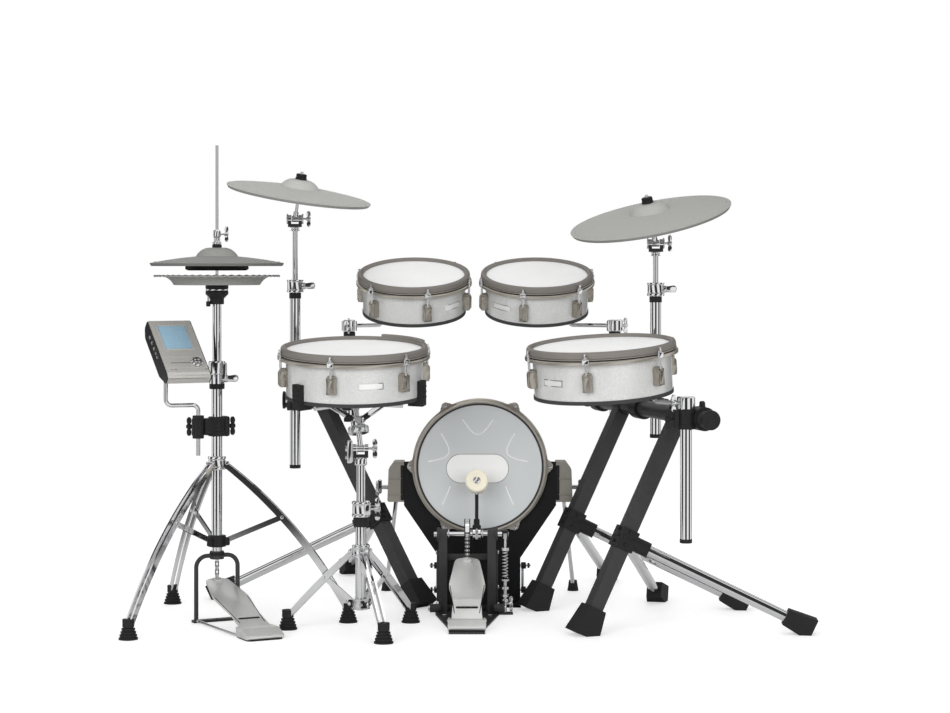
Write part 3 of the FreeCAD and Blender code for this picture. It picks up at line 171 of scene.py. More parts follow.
def mesh_head(name, color):
    """Two crossed waves make the woven mesh of a drum head."""
    made, tree, shader = material(name)
    spot = coords(tree)
    threads = []
    for way in ("X", "Y"):
        threads.append(wire(tree, "TexWave", {"Vector": spot, "Scale": 260, "Distortion": 0.4}, "Fac"))
        threads[-1].node.bands_direction = way
    weave = calc(tree, "MAXIMUM", *threads)
    cloud = calc(tree, "MULTIPLY", noise(tree, spot, 14), 0.45)
    mixed = calc(tree, "MULTIPLY_ADD", weave, 0.55, cloud)
    feed(tree, shader, {
        "Base Color": ramp(tree, mixed, (0, tint(color, 0.86)), (1, tint(color, 1.02))),
        "Normal": relief(tree, weave, 0.3, 0.0003), "Roughness": 0.7, "Sheen Weight": 0.15})
    return made


def cymbal_rubber(name, place, color=RUBBER_GREY):
    """Matt rubber with fine lathe rings about the cymbal's own axis, and painted shade that darkens the
    downturned rim and the underside.
    """
    made, tree, shader = material(name)
    spot = coords(tree, place)
    x, y, z = wire(tree, "SeparateXYZ", {"Vector": spot}).node.outputs
    radius = length_of(tree, wire(tree, "CombineXYZ", {"X": x, "Y": y}))
    rings = calc(tree, "SINE", calc(tree, "MULTIPLY", radius, 2 * pi / RING_PITCH))
    blend = calc(tree, "MULTIPLY_ADD", rings, 0.16, noise(tree, spot, 420, 4))
    tone = ramp(tree, blend, (0.25, tint(color, 0.86)), (0.75, tint(color, 1.12)))
    # Painted shade: the colour is darkened towards 0.55 below the rim line, on the downturned edge and the
    # underside.
    rim = wire(tree, "MapRange", {"Value": z, "From Min": 0.0002, "From Max": 0.0009, "To Min": 0.55})
    edge = tree.nodes.new("ShaderNodeMix")
    edge.data_type = "RGBA"
    edge.blend_type = "MULTIPLY"
    feed(tree, edge, {"Factor": 1.0, "A": tone, "B": rim})
    feed(tree, shader, {"Base Color": edge.outputs["Result"], "Normal": relief(tree, blend, 0.35),
                        "Roughness": 0.62, "Specular IOR Level": 0.35})
    return made


WRAP = sparkle_wrap()
MESH = mesh_head("mesh_head", (0.9, 0.9, 0.895))
KICK_GREY = surface("kick_head_grey", (0.57, 0.59, 0.595), 0.42, vary=0.05, bump=0.05, coat=0.15)
HOOP = surface("hoop_rubber", (0.165, 0.152, 0.138), 0.5, vary=0.1, scale=90, bump=0.12)
FLANGE = surface("flange_metal", (0.52, 0.485, 0.43), 0.34, metal=0.85, vary=0.06, scale=80)
LUG = surface("lug_cast", (0.41, 0.38, 0.33), 0.27, metal=0.9, vary=0.08, scale=90, bump=0.06)
TAUPE = surface("taupe_moulding", (0.205, 0.19, 0.168), 0.5, vary=0.08, scale=120, bump=0.2)
BLACK_STEEL = surface("black_powder_coat", (0.035, 0.035, 0.036), 0.45, vary=0.2, scale=160, bump=0.25,
                      spec=0.28)
# Darker copy of the black powder coat for the kick plate alone: painted shade.
PAINTED_SHADE_PLATE = surface("black_plate_painted_shade", (0.011, 0.011, 0.012), 0.5, vary=0.2, scale=160, bump=0.2, spec=0.16)
CHAIN = surface("chain_steel", (0.17, 0.165, 0.16), 0.35, metal=0.8, vary=0.1, scale=120, bump=0.1)
BLACK = surface("black_moulding", (0.012, 0.012, 0.013), 0.48, vary=0.2, scale=140, bump=0.2, spec=0.28)
RUBBER = surface("black_rubber", (0.016, 0.016, 0.016), 0.68, vary=0.2, scale=120, bump=0.25, spec=0.25)
BASE = surface("base_rubber", (0.04, 0.04, 0.041), 0.6, vary=0.15, scale=120, bump=0.2, spec=0.3)
CHROME = surface("chrome_plate", (0.76, 0.76, 0.77), 0.06, metal=1.0, vary=0.03, scale=30, bump=0.02,
                 spread=0.03)
BOARD = surface("brushed_board", (0.73, 0.73, 0.72), 0.4, metal=0.7, vary=0.14, scale=120, bump=0.12,
                stretch=(1, 0.08, 1))
BADGE = surface("badge_silver", (0.8, 0.8, 0.79), 0.34, metal=0.35, vary=0.03, scale=160, bump=0.05)
FELT = surface("cream_felt", (0.78, 0.73, 0.6), 0.9, vary=0.08, scale=260, bump=0.7, sheen=0.4)
MODULE = surface("module_champagne", (0.53, 0.52, 0.49), 0.38, metal=0.45, vary=0.05, scale=110, bump=0.08)
PATCH = surface("white_patch", (0.86, 0.86, 0.85), 0.5, vary=0.03, scale=90, bump=0.1)
LCD = surface("lcd_blue", (0.27, 0.42, 0.53), 0.2, vary=0.16, scale=30, bump=0.02, coat=0.5)

SKIN = {"shell_wrap": WRAP, "drum_head": MESH, "hoop": HOOP, "lug_metal": LUG, "kick_head": KICK_GREY,
        "bracket_taupe": TAUPE, "black_steel": BLACK_STEEL, "black_plastic": BLACK, "rubber_black": RUBBER,
        "chrome": CHROME, "cymbal_rubber": surface("rubber_grey", RUBBER_GREY, 0.6),
        "board_metal": BOARD, "felt": FELT, "module_body": MODULE}
for entry in frame["record"]["subparts"]:
    data = NODES[entry["node"]].data
    data.materials.clear()
    # The kick plate takes the darker copy of the black powder coat: painted shade.
    data.materials.append(PAINTED_SHADE_PLATE if entry["node"] == "kick_plate" else SKIN[entry["material_slot"]])


# Camera, floor and light

PHOTO_W, FOCAL_PX, SHIFT_PX, SENSOR = 950, 2273, -93.5, 36
EYE = (-0.012, -5.42, 0.816)
MIDDLE = (0, 0, 0.4)
LAMPS = (("key", (-1.9, -4.4, 1.6), 2.4, 115, MIDDLE), ("fill", (2.0, -4.4, 1.4), 2.4, 85, MIDDLE),
         ("back", (0.3, 4.4, 1.7), 2.6, 80, MIDDLE), ("top", (0, 0.4, 3.6), 3.2, 22, (0, 0, 0)))
FLOOR_EDGE, FADE_START, FADE_END = 4.0, 1.1, 2.4


def show(name, data):
    """New object in the scene."""
    made = bpy.data.objects.new(name, data)
    bpy.context.collection.objects.link(made)
    return made


def studio():
    """White world; reflections meet white walls with darker openings towards the front corners."""
    world = bpy.data.worlds.new("studio")
    bpy.context.scene.world = world
    world.use_nodes = True
    tree = world.node_tree
    path = wire(tree, "LightPath", {}).node.outputs
    seen = calc(tree, "MAXIMUM", path["Is Camera Ray"], path["Is Transmission Ray"])
    way = wire(tree, "TexCoord", {}, "Generated")
    x, y, z = wire(tree, "SeparateXYZ", {"Vector": way}).node.outputs
    bands = calc(tree, "MULTIPLY_ADD", calc(tree, "ARCTAN2", x, y), 5.0, calc(tree, "MULTIPLY", z, 4.0))
    wall = smooth_step(tree, calc(tree, "COSINE", bands), -0.3, 0.25, 0.04, 1.0)
    mirror = wire(tree, "Mix", {"Factor": path["Is Glossy Ray"], "A": 0.55, "B": wall})
    level = wire(tree, "Mix", {"Factor": seen, "A": mirror, "B": 1.0})
    feed(tree, tree.nodes["Background"], {"Color": WHITE, "Strength": level})


def white_floor():
    """Round floor that fades into the white world."""
    bm = bmesh.new()
    bmesh.ops.create_circle(bm, cap_ends=True, segments=96, radius=FLOOR_EDGE)
    mesh = bpy.data.meshes.new("floor")
    bm.to_mesh(mesh)
    bm.free()
    floor = show("floor", mesh)
    made, tree, shader = material("floor_white")
    seen = wire(tree, "LightPath", {}, "Is Camera Ray")
    far = length_of(tree, coords(tree))
    feed(tree, shader, {
        "Base Color": (0.72, 0.72, 0.72, 1), "Roughness": 0.7, "Specular IOR Level": 0.15,
        "Emission Color": WHITE, "Emission Strength": calc(tree, "MULTIPLY", seen, 0.44),
        "Alpha": smooth_step(tree, far, FADE_START, FADE_END, 1.0, 0.0)})
    mesh.materials.append(made)


def stage_set():
    """Camera as in the photograph, world, lamps and floor."""
    cam = show("camera", bpy.data.cameras.new("camera"))
    cam.location = EYE
    cam.rotation_euler = (radians(90), 0, 0)
    cam.data.sensor_width = SENSOR
    cam.data.lens = FOCAL_PX / PHOTO_W * SENSOR
    cam.data.shift_y = SHIFT_PX / PHOTO_W
    bpy.context.scene.camera = cam
    bpy.context.scene.view_settings.view_transform = "Standard"
    studio()
    for name, place, size, watts, aim in LAMPS:
        lamp = bpy.data.lights.new(name, "AREA")
        lamp.energy = watts
        lamp.size = size
        ob = show(name, lamp)
        ob.visible_glossy = name == "top"
        ob.location = place
        ob.rotation_euler = (Vector(aim) - Vector(place)).to_track_quat("-Z", "Y").to_euler()
    white_floor()


MM = 0.001
SMOOTH_TO = radians(38)
TURN = Matrix.Rotation
UPRIGHT = TURN(radians(90), 4, "X")
ACROSS = TURN(radians(90), 4, "Y")


def add(name, bm, skin, body, slot, *stands_for):
    """Turn a mesh in millimetres into a piece that rides on a body, when one is given."""
    bmesh.ops.recalc_face_normals(bm, faces=bm.faces)
    bm.transform(Matrix.Scale(MM, 4))
    mesh = bpy.data.meshes.new(name)
    bm.to_mesh(mesh)
    bm.free()
    mesh.polygons.foreach_set("use_smooth", [True] * len(mesh.polygons))
    mesh.set_sharp_from_angle(angle=SMOOTH_TO)
    mesh.materials.append(skin)
    piece = show(name, mesh)
    if body:
        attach(piece, body)
    if stands_for:
        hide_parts(*stands_for)
    return piece


def at(x, y, z):
    return Matrix.Translation((x, y, z))


def spin(angle):
    return TURN(radians(angle), 4, "Z")


def tilted(top, forward, roll=0.0):
    """Frame that leans towards the player by forward and sideways by roll."""
    return at(*top) @ TURN(radians(roll), 4, "Y") @ TURN(radians(forward), 4, "X")


def along(a, b):
    """Frame at a whose Z axis points to b."""
    a, b = Vector(a), Vector(b)
    return Matrix.Translation(a) @ (b - a).to_track_quat("Z", "Y").to_matrix().to_4x4()


def metres(place):
    out = place.copy()
    out.translation = place.translation * MM
    return out


def soft(points, radius, steps=3):
    """Closed outline with rounded corners; corners on the axis stay sharp."""
    out = []
    for i, point in enumerate(points):
        here = Vector(point)
        before = Vector(points[i - 1]) - here
        after = Vector(points[(i + 1) % len(points)]) - here
        cut = min(radius, before.length * 0.45, after.length * 0.45)
        if here.x == 0:
            out.append(point)
            continue
        start = here + before.normalized() * cut
        end = here + after.normalized() * cut
        for k in range(steps + 1):
            t = k / steps
            p = (start * (1 - t) + here * t) * (1 - t) + (here * (1 - t) + end * t) * t
            out.append((p.x, p.y))
    return out


def arc3(a, mid, b, count):
    """Points on the circle through three points, from a to b."""
    (ax, ay), (mx, my), (bx, by) = a, mid, b
    d = 2 * (ax * (my - by) + mx * (by - ay) + bx * (ay - my))
    aa, mm, bb = ax**2 + ay**2, mx**2 + my**2, bx**2 + by**2
    ux = (aa * (my - by) + mm * (by - ay) + bb * (ay - my)) / d
    uy = (aa * (bx - mx) + mm * (ax - bx) + bb * (mx - ax)) / d
    r = hypot(ax - ux, ay - uy)
    first = atan2(ay - uy, ax - ux)
    swing = (atan2(by - uy, bx - ux) - first + pi) % (2 * pi) - pi
    turns = [first + swing * k / count for k in range(count + 1)]
    return [(ux + r * cos(turn), uy + r * sin(turn)) for turn in turns]


def lathe(bm, outline, m, segs):
    """Turned closed form about the frame's Z axis."""
    rings = []
    for r, z in outline:
        turns = [2 * pi * i / segs for i in range(1 if r < 1e-6 else segs)]
        rings.append([bm.verts.new(m @ Vector((r * cos(turn), r * sin(turn), z))) for turn in turns])
    for a, b in zip(rings, rings[1:] + rings[:1]):
        for i in range(segs):
            j = (i + 1) % segs
            corners = list(dict.fromkeys((a[i % len(a)], a[j % len(a)], b[j % len(b)], b[i % len(b)])))
            if len(corners) > 2:
                bm.faces.new(corners)


def sleeve(bm, m, rows, inner, segs=40, edge=1.0):
    """Turned form about the frame's Z axis: rows of outer radius and height over one bore."""
    outline = [(inner, rows[0][1]), *rows, (inner, rows[-1][1])]
    lathe(bm, soft(outline, edge), m, segs)


def collar(bm, m, bore, outer, waist, heights, segs=40):
    """Sleeve with a waist between two bands, by the heights of its six corners."""
    sleeve(bm, m, list(zip((outer, outer, waist, waist, outer, outer), heights)), bore, segs)


def bar(bm, a, b, radius, segs, edge=0.8):
    """Round bar with rounded ends."""
    length = (Vector(b) - Vector(a)).length
    sleeve(bm, along(a, b), [(radius, 0), (radius, length)], 0, segs, edge)


def pin(bm, m, a, b, radius, segs, edge=0.8):
    """Round bar between two points of a frame."""
    bar(bm, m @ Vector(a), m @ Vector(b), radius, segs, edge)


def turned(name, outline, edge, m, segs, skin, body, slot, *stands_for):
    """Piece that is one turned form with rounded corners."""
    bm = bmesh.new()
    lathe(bm, soft(outline, edge), m, segs)
    add(name, bm, skin, body, slot, *stands_for)


def block(bm, size, m, bevel):
    """Box with rounded edges about the frame's origin."""
    made = bmesh.ops.create_cube(bm, size=1.0, matrix=m @ Matrix.Diagonal((*size, 1)))
    edges = list({e for v in made["verts"] for e in v.link_edges})
    bmesh.ops.bevel(bm, geom=edges, offset=bevel, segments=3, affect="EDGES", profile=0.5)


def plate(bm, outline, thick, m, bevel):
    """Flat outline in the frame's XY plane raised along Z, with rounded rims."""
    low = [bm.verts.new(m @ Vector((x, y, 0))) for x, y in outline]
    high = [bm.verts.new(m @ Vector((x, y, thick))) for x, y in outline]
    rims = [bm.faces.new(low[::-1]), bm.faces.new(high)]
    for i in range(len(outline)):
        j = (i + 1) % len(outline)
        bm.faces.new((low[i], low[j], high[j], high[i]))
    edges = list({e for f in rims for e in f.edges})
    bmesh.ops.bevel(bm, geom=edges, offset=bevel, segments=2, affect="EDGES", profile=0.5)


def arc_plate(bm, inner, outer, first, last, low, high, m, segs=14):
    """Curved plate on a cylinder about the frame's Z axis."""
    rows = []
    for k in range(segs + 1):
        angle = radians(first + (last - first) * k / segs)
        c, s = cos(angle), sin(angle)
        rows.append([bm.verts.new(m @ Vector((r * c, r * s, z)))
                     for r, z in ((inner, low), (outer, low), (outer, high), (inner, high))])
    for a, b in zip(rows, rows[1:]):
        for i in range(4):
            bm.faces.new((a[i], a[(i + 1) % 4], b[(i + 1) % 4], b[i]))
    bm.faces.new(rows[0])
    bm.faces.new(rows[-1][::-1])


def sweep(bm, points, radius, segs):
    """Round wire through points, with flat ends."""
    points = [Vector(p) for p in points]
    turns = [2 * pi * k / segs for k in range(segs)]
    side = None
    rings = []
    for i, point in enumerate(points):
        way = (points[min(i + 1, len(points) - 1)] - points[max(i - 1, 0)]).normalized()
        if side is None:
            side = way.orthogonal().normalized()
        side = (side - way * side.dot(way)).normalized()
        up = way.cross(side)
        rings.append([bm.verts.new(point + (side * cos(turn) + up * sin(turn)) * radius)
                      for turn in turns])
    for a, b in zip(rings, rings[1:]):
        for k in range(segs):
            bm.faces.new((a[k], a[(k + 1) % segs], b[(k + 1) % segs], b[k]))
    bm.faces.new(rings[0])
    bm.faces.new(rings[-1][::-1])


def wing_bolt(bm, m, reach, size=1.0):
    """Wing bolt along the frame's X axis: shaft, boss and two rounded wings."""
    pin(bm, m, (-4, 0, 0), (reach, 0, 0), 2.8 * size, 14)
    pin(bm, m, (reach - 4, 0, 0), (reach + 8 * size, 0, 0), 5.2 * size, 18, 1.6)
    outline = [(0, -3), (9, -5), (16, -4), (19, 0), (17, 5), (9, 6), (0, 4)]
    face = m @ at(reach + 3 * size, 0, 0) @ UPRIGHT @ spin(90) @ at(0, 0, -2.2 * size)
    for way in (-1, 1):
        points = soft([(way * x * size + way * 3, y * size) for x, y in outline], 2.4)
        plate(bm, points, 4.4 * size, face, 1.2)


def lever(bm, m):
    """Clamp lever along the frame's X axis: round boss and a flat, rounded handle."""
    tip = 49.0
    pin(bm, m, (12, 0, 0), (25, 0, 0), 8.6, 20, 1.6)
    outline = [(14, -7.2), (tip - 4, -7.2), (tip, -3), (tip, 5), (tip - 5, 9.4), (tip - 20, 7.2), (14, 7.2)]
    plate(bm, soft(outline, 2.6), 6.6, m @ UPRIGHT @ at(0, 0, -3.3), 2)


# Drum pads

SNARE_R, TOM_R, FLOOR_R, KICK_R = 152.4, 127.0, 152.4, 152.4
SNARE = tilted((-280, -370, 625), 6)
TOM_LEFT = tilted((-163, 200, 786), 16)
TOM_RIGHT = tilted((141, 200, 786), 16)
FLOOR_TOM = tilted((264, -440, 634), 5, -3.5)
KICK = at(0, 0, 330) @ UPRIGHT
HEAD_T = 3.0
BADGE_HALF = 27.5
LUGS = 6


def pad(name, body, radius, depth, place, first, badge, lug_node):
    """Rubber hoop, metal flange, wrapped shell, lugs, claws and a bare badge plate."""
    inner, outer = radius + 1, radius + 12
    low = -HEAD_T - depth
    crown = [(radius - 2.5, 0.2), (radius - 0.5, 6.4), (radius + 4, 8), (outer - 2.4, 7), (outer - 0.4, 3),
             (outer, -7.6), (inner, -7.6), (inner, 0.2)]
    turned(name + "_crown", crown, 2.4, place, 128, HOOP, body, "hoop", name + "_hoop")
    flange = [(inner, -7.8), (outer + 0.8, -7.8), (outer + 0.8, -9.6), (outer - 3.4, -10), (outer - 3.4, -12),
              (outer + 1.6, -12.4), (outer + 4, -14), (outer + 4, -20), (inner, -20)]
    turned(name + "_flange", flange, 0.7, place, 128, FLANGE, body, "lug_metal", name + "_hoop")
    # Painted shade: a black ring fills the flange groove as the dark line where the groove's shade falls.
    groove = [(inner + 1, -9.6), (outer - 0.6, -9.6), (outer - 0.6, -12.6), (inner + 1, -12.6)]
    turned(name + "_painted_groove_shade", groove, 0.4, place, 128, RUBBER, body, "rubber_black")
    shell = [(0, low), (radius, low), (radius, -HEAD_T), (radius - 6, -HEAD_T), (radius - 6, low + 4),
             (0, low + 4)]
    turned(name + "_wrap", shell, 0.8, place, 128, WRAP, body, "shell_wrap", name + "_shell")
    rim = [(radius - 8, low - 0.4), (radius + 1.5, low - 0.4), (radius + 1.5, low + 7.6),
           (radius + 0.1, low + 8), (radius + 0.1, low - 0.1), (radius - 8, low - 0.1)]
    turned(name + "_base_rim", rim, 0.5, place, 128, BASE, body, "rubber_black")
    cast, bright = bmesh.new(), bmesh.new()
    for i in range(LUGS):
        here = place @ spin(first + 360 / LUGS * i)
        face = here @ at(radius - 0.5, 0, -58) @ ACROSS @ spin(90)
        for half, top, out, edge in ((10.5, 17, 17.5, 2.4), (7.6, 13.5, 19.6, 1.6)):
            outline = [(-half, top), (half, top), (half - 1.6, 0), (half, -top - 3), (-half, -top - 3),
                       (1.6 - half, 0)]
            plate(cast, soft(outline, 1.8), out, face, edge)
        block(cast, (14, 17, 8), here @ at(radius + 8, 0, -40.5), 2.4)
        pin(bright, here, (outer + 2, 0, -44), (outer + 2, 0, 1), 2.7, 14)
        block(bright, (9, 17, 13), here @ at(outer + 3.4, 0, -12.5), 2.6)
        pin(bright, here, (outer + 3, 0, -7), (outer + 3, 0, -2), 5, 18)
        block(bright, (5.4, 5.4, 8), here @ at(outer + 3, 0, 1), 0.7)
    add(name + "_lug_bodies", cast, LUG, body, "lug_metal", lug_node)
    add(name + "_claws", bright, CHROME, body, "chrome", lug_node)
    span = degrees(BADGE_HALF / radius)
    middle = -HEAD_T - depth * 0.56
    for end, out, share, half, skin, slot in (("_badge_rim", 1.4, 1, 7, CHROME, "chrome"),
                                              ("_badge_plate", 1.9, 0.94, 5.6, BADGE, "board_metal")):
        bm = bmesh.new()
        arc_plate(bm, radius, radius + out, badge - span * share, badge + span * share,
                  middle - half, middle + half, place)
        add(name + end, bm, skin, body, slot)


pad("snare", "snare", SNARE_R, 104, SNARE, 255, 286.5, "snare_lugs")
pad("tom_left", "stands", TOM_R, 92, TOM_LEFT, 285, 319, "tom_lugs")
pad("tom_right", "stands", TOM_R, 92, TOM_RIGHT, 255, 226, "tom_lugs")
pad("floor_tom", "stands", FLOOR_R, 104, FLOOR_TOM, 255, 222, "tom_lugs")


def snare_rim_bar():
    """Raised bar on the far right of the snare's hoop."""
    bm = bmesh.new()
    arc_plate(bm, SNARE_R - 1, SNARE_R + 11, 18, 69, 5, 13, SNARE, 24)
    arc_plate(bm, SNARE_R - 3, SNARE_R + 12.5, 16, 71, 3, 7, SNARE, 24)
    add("snare_rim_bar", bm, HOOP, "snare", "hoop")


snare_rim_bar()


# Cymbals

CYMBAL_T, BELL_R, BELL_H, BOW_H, HOLE = 5.0, 42.0, 20.0, 16.0, 6.0
CROWN = BOW_H + BELL_H
HAT_R, CRASH_R, RIDE_R = 152.4, 177.8, 190.5
DOTS, DOT_R, DOT_IN = 150, 1.3, 11
STUD_H, NUT_RIBS = 62, 12
# Crash and ride use the same rubber as the hi-hat, drawn lighter: painted light where they are lit more.
PAINTED_LIGHT_GREYS = {"crash": 0.44, "ride": 0.375}


def cymbal_outline(radius):
    """Bell, bow with one shallow groove, bevelled edge and the underside."""
    crown_r = HOLE + 14
    middle = (BELL_R + radius) / 2
    dip, shoulder = BOW_H * 0.65, BOW_H + BELL_H * 0.42
    bow = arc3((BELL_R + 6, BOW_H), (middle, dip), (radius, 1), 28)
    stepped = [(r, z - (0.7 if abs(r - (radius - 17)) < 2.2 else 0)) for r, z in bow]
    under = arc3((radius - 12, -6), (middle, dip - CYMBAL_T), (BELL_R + 4, BOW_H - CYMBAL_T), 14)
    out = [(HOLE, CROWN - CYMBAL_T), (HOLE, CROWN)]
    out += arc3((crown_r, CROWN), (BELL_R * 0.9, BOW_H + BELL_H * 0.62), (BELL_R + 6, BOW_H), 12)[:-1]
    out += stepped + [(radius - 0.6, -1), (radius - 4, -6)]
    out += under
    out += arc3((BELL_R + 4, BOW_H - CYMBAL_T), (BELL_R * 0.72, shoulder - CYMBAL_T),
                (crown_r - 4, CROWN - CYMBAL_T), 8)[1:]
    return out


def disc(name, body, radius, place, grey_and_painted_light=RUBBER_GREY[0]):
    """Rubber cymbal with a ring of small dots near its edge; on the crash and ride its grey carries painted
    light.
    """
    bm = bmesh.new()
    outline = cymbal_outline(radius)
    lathe(bm, outline, place, 144)
    dot_r, dot_z = min(outline, key=lambda p: abs(p[0] - radius + DOT_IN) + (9 if p[1] < 0 else 0))
    for i in range(DOTS):
        spot = place @ spin(360 / DOTS * i) @ at(dot_r, 0, dot_z)
        bmesh.ops.create_icosphere(bm, subdivisions=1, radius=DOT_R, matrix=spot)
    skin = cymbal_rubber(name + "_rubber", metres(place), (grey_and_painted_light, grey_and_painted_light, grey_and_painted_light * 0.95))
    add(name + "_face", bm, skin, body, "cymbal_rubber", name)


def tilting_cymbal(name, radius, pivot, tilt, roll):
    """Cymbal on its stud, with the black seat below and the ribbed nut on top."""
    place = tilted(pivot, tilt, roll)
    disc(name + "_cymbal", name, radius, place @ at(0, 0, STUD_H), PAINTED_LIGHT_GREYS[name])
    top = STUD_H + CROWN
    bm = bmesh.new()
    sleeve(bm, place, [(10, top - 15), (13, top - 12), (13, top - 5)], 0, 40, 1.5)
    sleeve(bm, place, [(14, top), (14, top + 5), (11.5, top + 6), (11.5, top + 14)], 0, 40, 1.4)
    for i in range(NUT_RIBS):
        block(bm, (2.2, 2.6, 7), place @ spin(360 / NUT_RIBS * i) @ at(11.8, 0, top + 9.6), 0.7)
    add(name + "_sleeve", bm, BLACK, name, "black_plastic", name + "_stud")
    bm = bmesh.new()
    sleeve(bm, place, [(4, 0), (4, top + 19), (3, top + 20)], 0, 24, 0.8)
    pin(bm, at(*pivot), (-8.4, 0, 0), (8.4, 0, 0), 8, 32)
    sleeve(bm, place, [(6.5, 6), (6.5, 18)], 0, 24, 1.2)
    add(name + "_stud_bright", bm, CHROME, name, "chrome", name + "_stud")


CRASH = (-453, 154, 924)
RIDE = (410.78, -99.49, 862)
tilting_cymbal("crash", CRASH_R, CRASH, 7, 9)
tilting_cymbal("ride", RIDE_R, RIDE, 12, -12)


# Hi-hat stand

HAT = Vector((-600, -240, 0))
HAT_YAW = 297
HAT_HIGH, HAT_LOW = 815, 766
BELL_TOP = HAT_HIGH + CROWN
LEGS = (60, 180, 300)
WAVE_R, WAVES, WAVE_H = 112, 48, 1.1


def hihat():
    """Cymbals, sensor puck, clutch, seat and collars of the hi-hat stand."""
    stem = at(*HAT)
    disc("hihat_top_cymbal", "hihat_pull_rod", HAT_R, stem @ at(0, 0, HAT_HIGH))
    place = stem @ at(0, 0, HAT_LOW)
    bm = bmesh.new()
    outline = [(5.5, 0), (60, 0)] + arc3((98, 0), (106, 11), (143, 19), 12)
    outline += [(143.4, 20.5), (142, 22), (130, 20.6), (98, 16), (60, 16), (5.5, 16)]
    lathe(bm, outline, Matrix(), 192)
    for v in bm.verts:
        r = hypot(v.co.x, v.co.y)
        if r > WAVE_R:
            v.co.z += WAVE_H * (r - WAVE_R) / 31 * cos(WAVES * atan2(v.co.y, v.co.x))
    bm.transform(place)
    add("hihat_bottom_face", bm, cymbal_rubber("hihat_bottom_rubber", metres(place)), "hihat_top",
        "cymbal_rubber", "hihat_bottom_cymbal")
    bm = bmesh.new()
    sleeve(bm, stem, [(66, 799), (72, 802), (72, 808), (68, 810), (20, 810), (14, 812), (5.4, 812),
                      (5.4, BELL_TOP)], 4, 72, 1.2)
    sleeve(bm, stem, [(11, BELL_TOP), (11, BELL_TOP + 7)], 4, 40, 2)
    add("hihat_puck", bm, BLACK, "hihat_pull_rod", "black_plastic", "hihat_clutch")
    bm = bmesh.new()
    low = BELL_TOP + 7
    sleeve(bm, stem, [(9.5, low), (9.5, low + 6), (7, low + 8), (7, low + 16), (9, low + 18), (9, low + 30),
                      (6, low + 34)], 3.6, 40, 1.2)
    for i in range(16):
        block(bm, (1.6, 1.8, 4.4), stem @ spin(22.5 * i) @ at(9.4, 0, low + 3), 0.5)
    wing_bolt(bm, stem @ at(8, 0, low + 24), 12, 0.8)
    add("hihat_clutch_bright", bm, CHROME, "hihat_pull_rod", "chrome", "hihat_clutch")
    bm = bmesh.new()
    sleeve(bm, stem, [(16, 722), (16, 735), (18, 737), (26, 745), (26, 752), (24.5, 753), (24.5, 757),
                      (26, 758), (26, HAT_LOW)], 5, 60, 1.2)
    pin(bm, stem, (-19, -7, 717), (-19, -7, 729), 5, 20, 1.4)
    add("hihat_seat_body", bm, BLACK, "hihat_top", "black_plastic", "hihat_seat")
    bm = bmesh.new()
    sleeve(bm, stem, [(25.6, 753.4), (25.6, 756.6)], 24, 48, 0.5)
    pin(bm, stem, (-19, -7, 727), (-19, -7, 749), 2.4, 16)
    add("hihat_seat_bright", bm, CHROME, "hihat_top", "chrome", "hihat_seat")
    bm = bmesh.new()
    for low, high, r in ((170, 196, 20.6), (150, 158, 17)):
        sleeve(bm, stem, [(r, low), (r, high)], 12.2, 48, 2)
    for angle in LEGS:
        block(bm, (16, 14, 18), stem @ spin(HAT_YAW + angle) @ at(21, 0, 182), 2)
    add("hihat_lower_hub", bm, BLACK, "stands", "black_plastic")
    bm = bmesh.new()
    collar(bm, stem, 12.3, 20.4, 19.2, (346, 352, 353, 369, 370, 376), 48)
    sleeve(bm, stem, [(16.6, 543), (16.6, 562), (19, 564), (19, 590), (17.6, 593)], 12.1, 48)
    block(bm, (14, 22, 40), stem @ at(16, 0, 569), 3)
    lever(bm, stem @ at(0, 0, 552.5))
    for angle in LEGS:
        leg = stem @ spin(HAT_YAW + angle)
        for x, z in ((150, 238), (24, 361)):
            pin(bm, leg, (x, -10, z), (x, 10, z), 4.2, 18, 1.2)
    add("hihat_collars", bm, CHROME, "stands", "chrome")


hihat()


# Pedals

def board_frame(origin, yaw, rise, run):
    """Frame on a footboard, X from heel to toe and Z out of the tread, and the board's length."""
    slope = atan2(rise, run)
    return at(*origin) @ spin(yaw + 180) @ TURN(-slope, 4, "Y"), hypot(rise, run)


def footboard(name, body, m, length, toe, wide, heel, wide_at):
    """Shaped tread with hinge knuckle and toe clevis, its dark slot and edge lines."""
    waist = heel * 0.9
    half = [(0, heel), (length * 0.28, waist), (length * wide_at, wide), (length, toe)]
    outline = half + [(x, -y) for x, y in reversed(half)]
    bm = bmesh.new()
    plate(bm, soft(outline, 14, 5), 5, m @ at(0, 0, -2.5), 1.2)
    pin(bm, m, (0, -heel, 0), (0, heel, 0), 5, 28)
    plate(bm, soft([(54, -26), (58, -26), (58, 26), (54, 26)], 1.4), 1.6, m @ at(0, 0, 2.2), 0.5)
    block(bm, (16, 20, 7), m @ at(length - 12, 0, 3.6), 1.8)
    add(name + "_tread", bm, BOARD, body, "board_metal", name)
    bm = bmesh.new()
    plate(bm, soft([(44, -25), (52, -25), (52, 25), (44, 25)], 3), 0.5, m @ at(0, 0, 2.3), 0.15)
    for side in (-1, 1):
        plate(bm, soft([(length * 0.1, side * waist * 0.92), (length * wide_at, side * wide * 0.95),
                        (length * wide_at, side * wide * 0.91), (length * 0.1, side * waist * 0.86)], 1),
              0.3, m @ at(0, 0, 2.35), 0.08)
    add(name + "_slot", bm, RUBBER, body, "rubber_black")


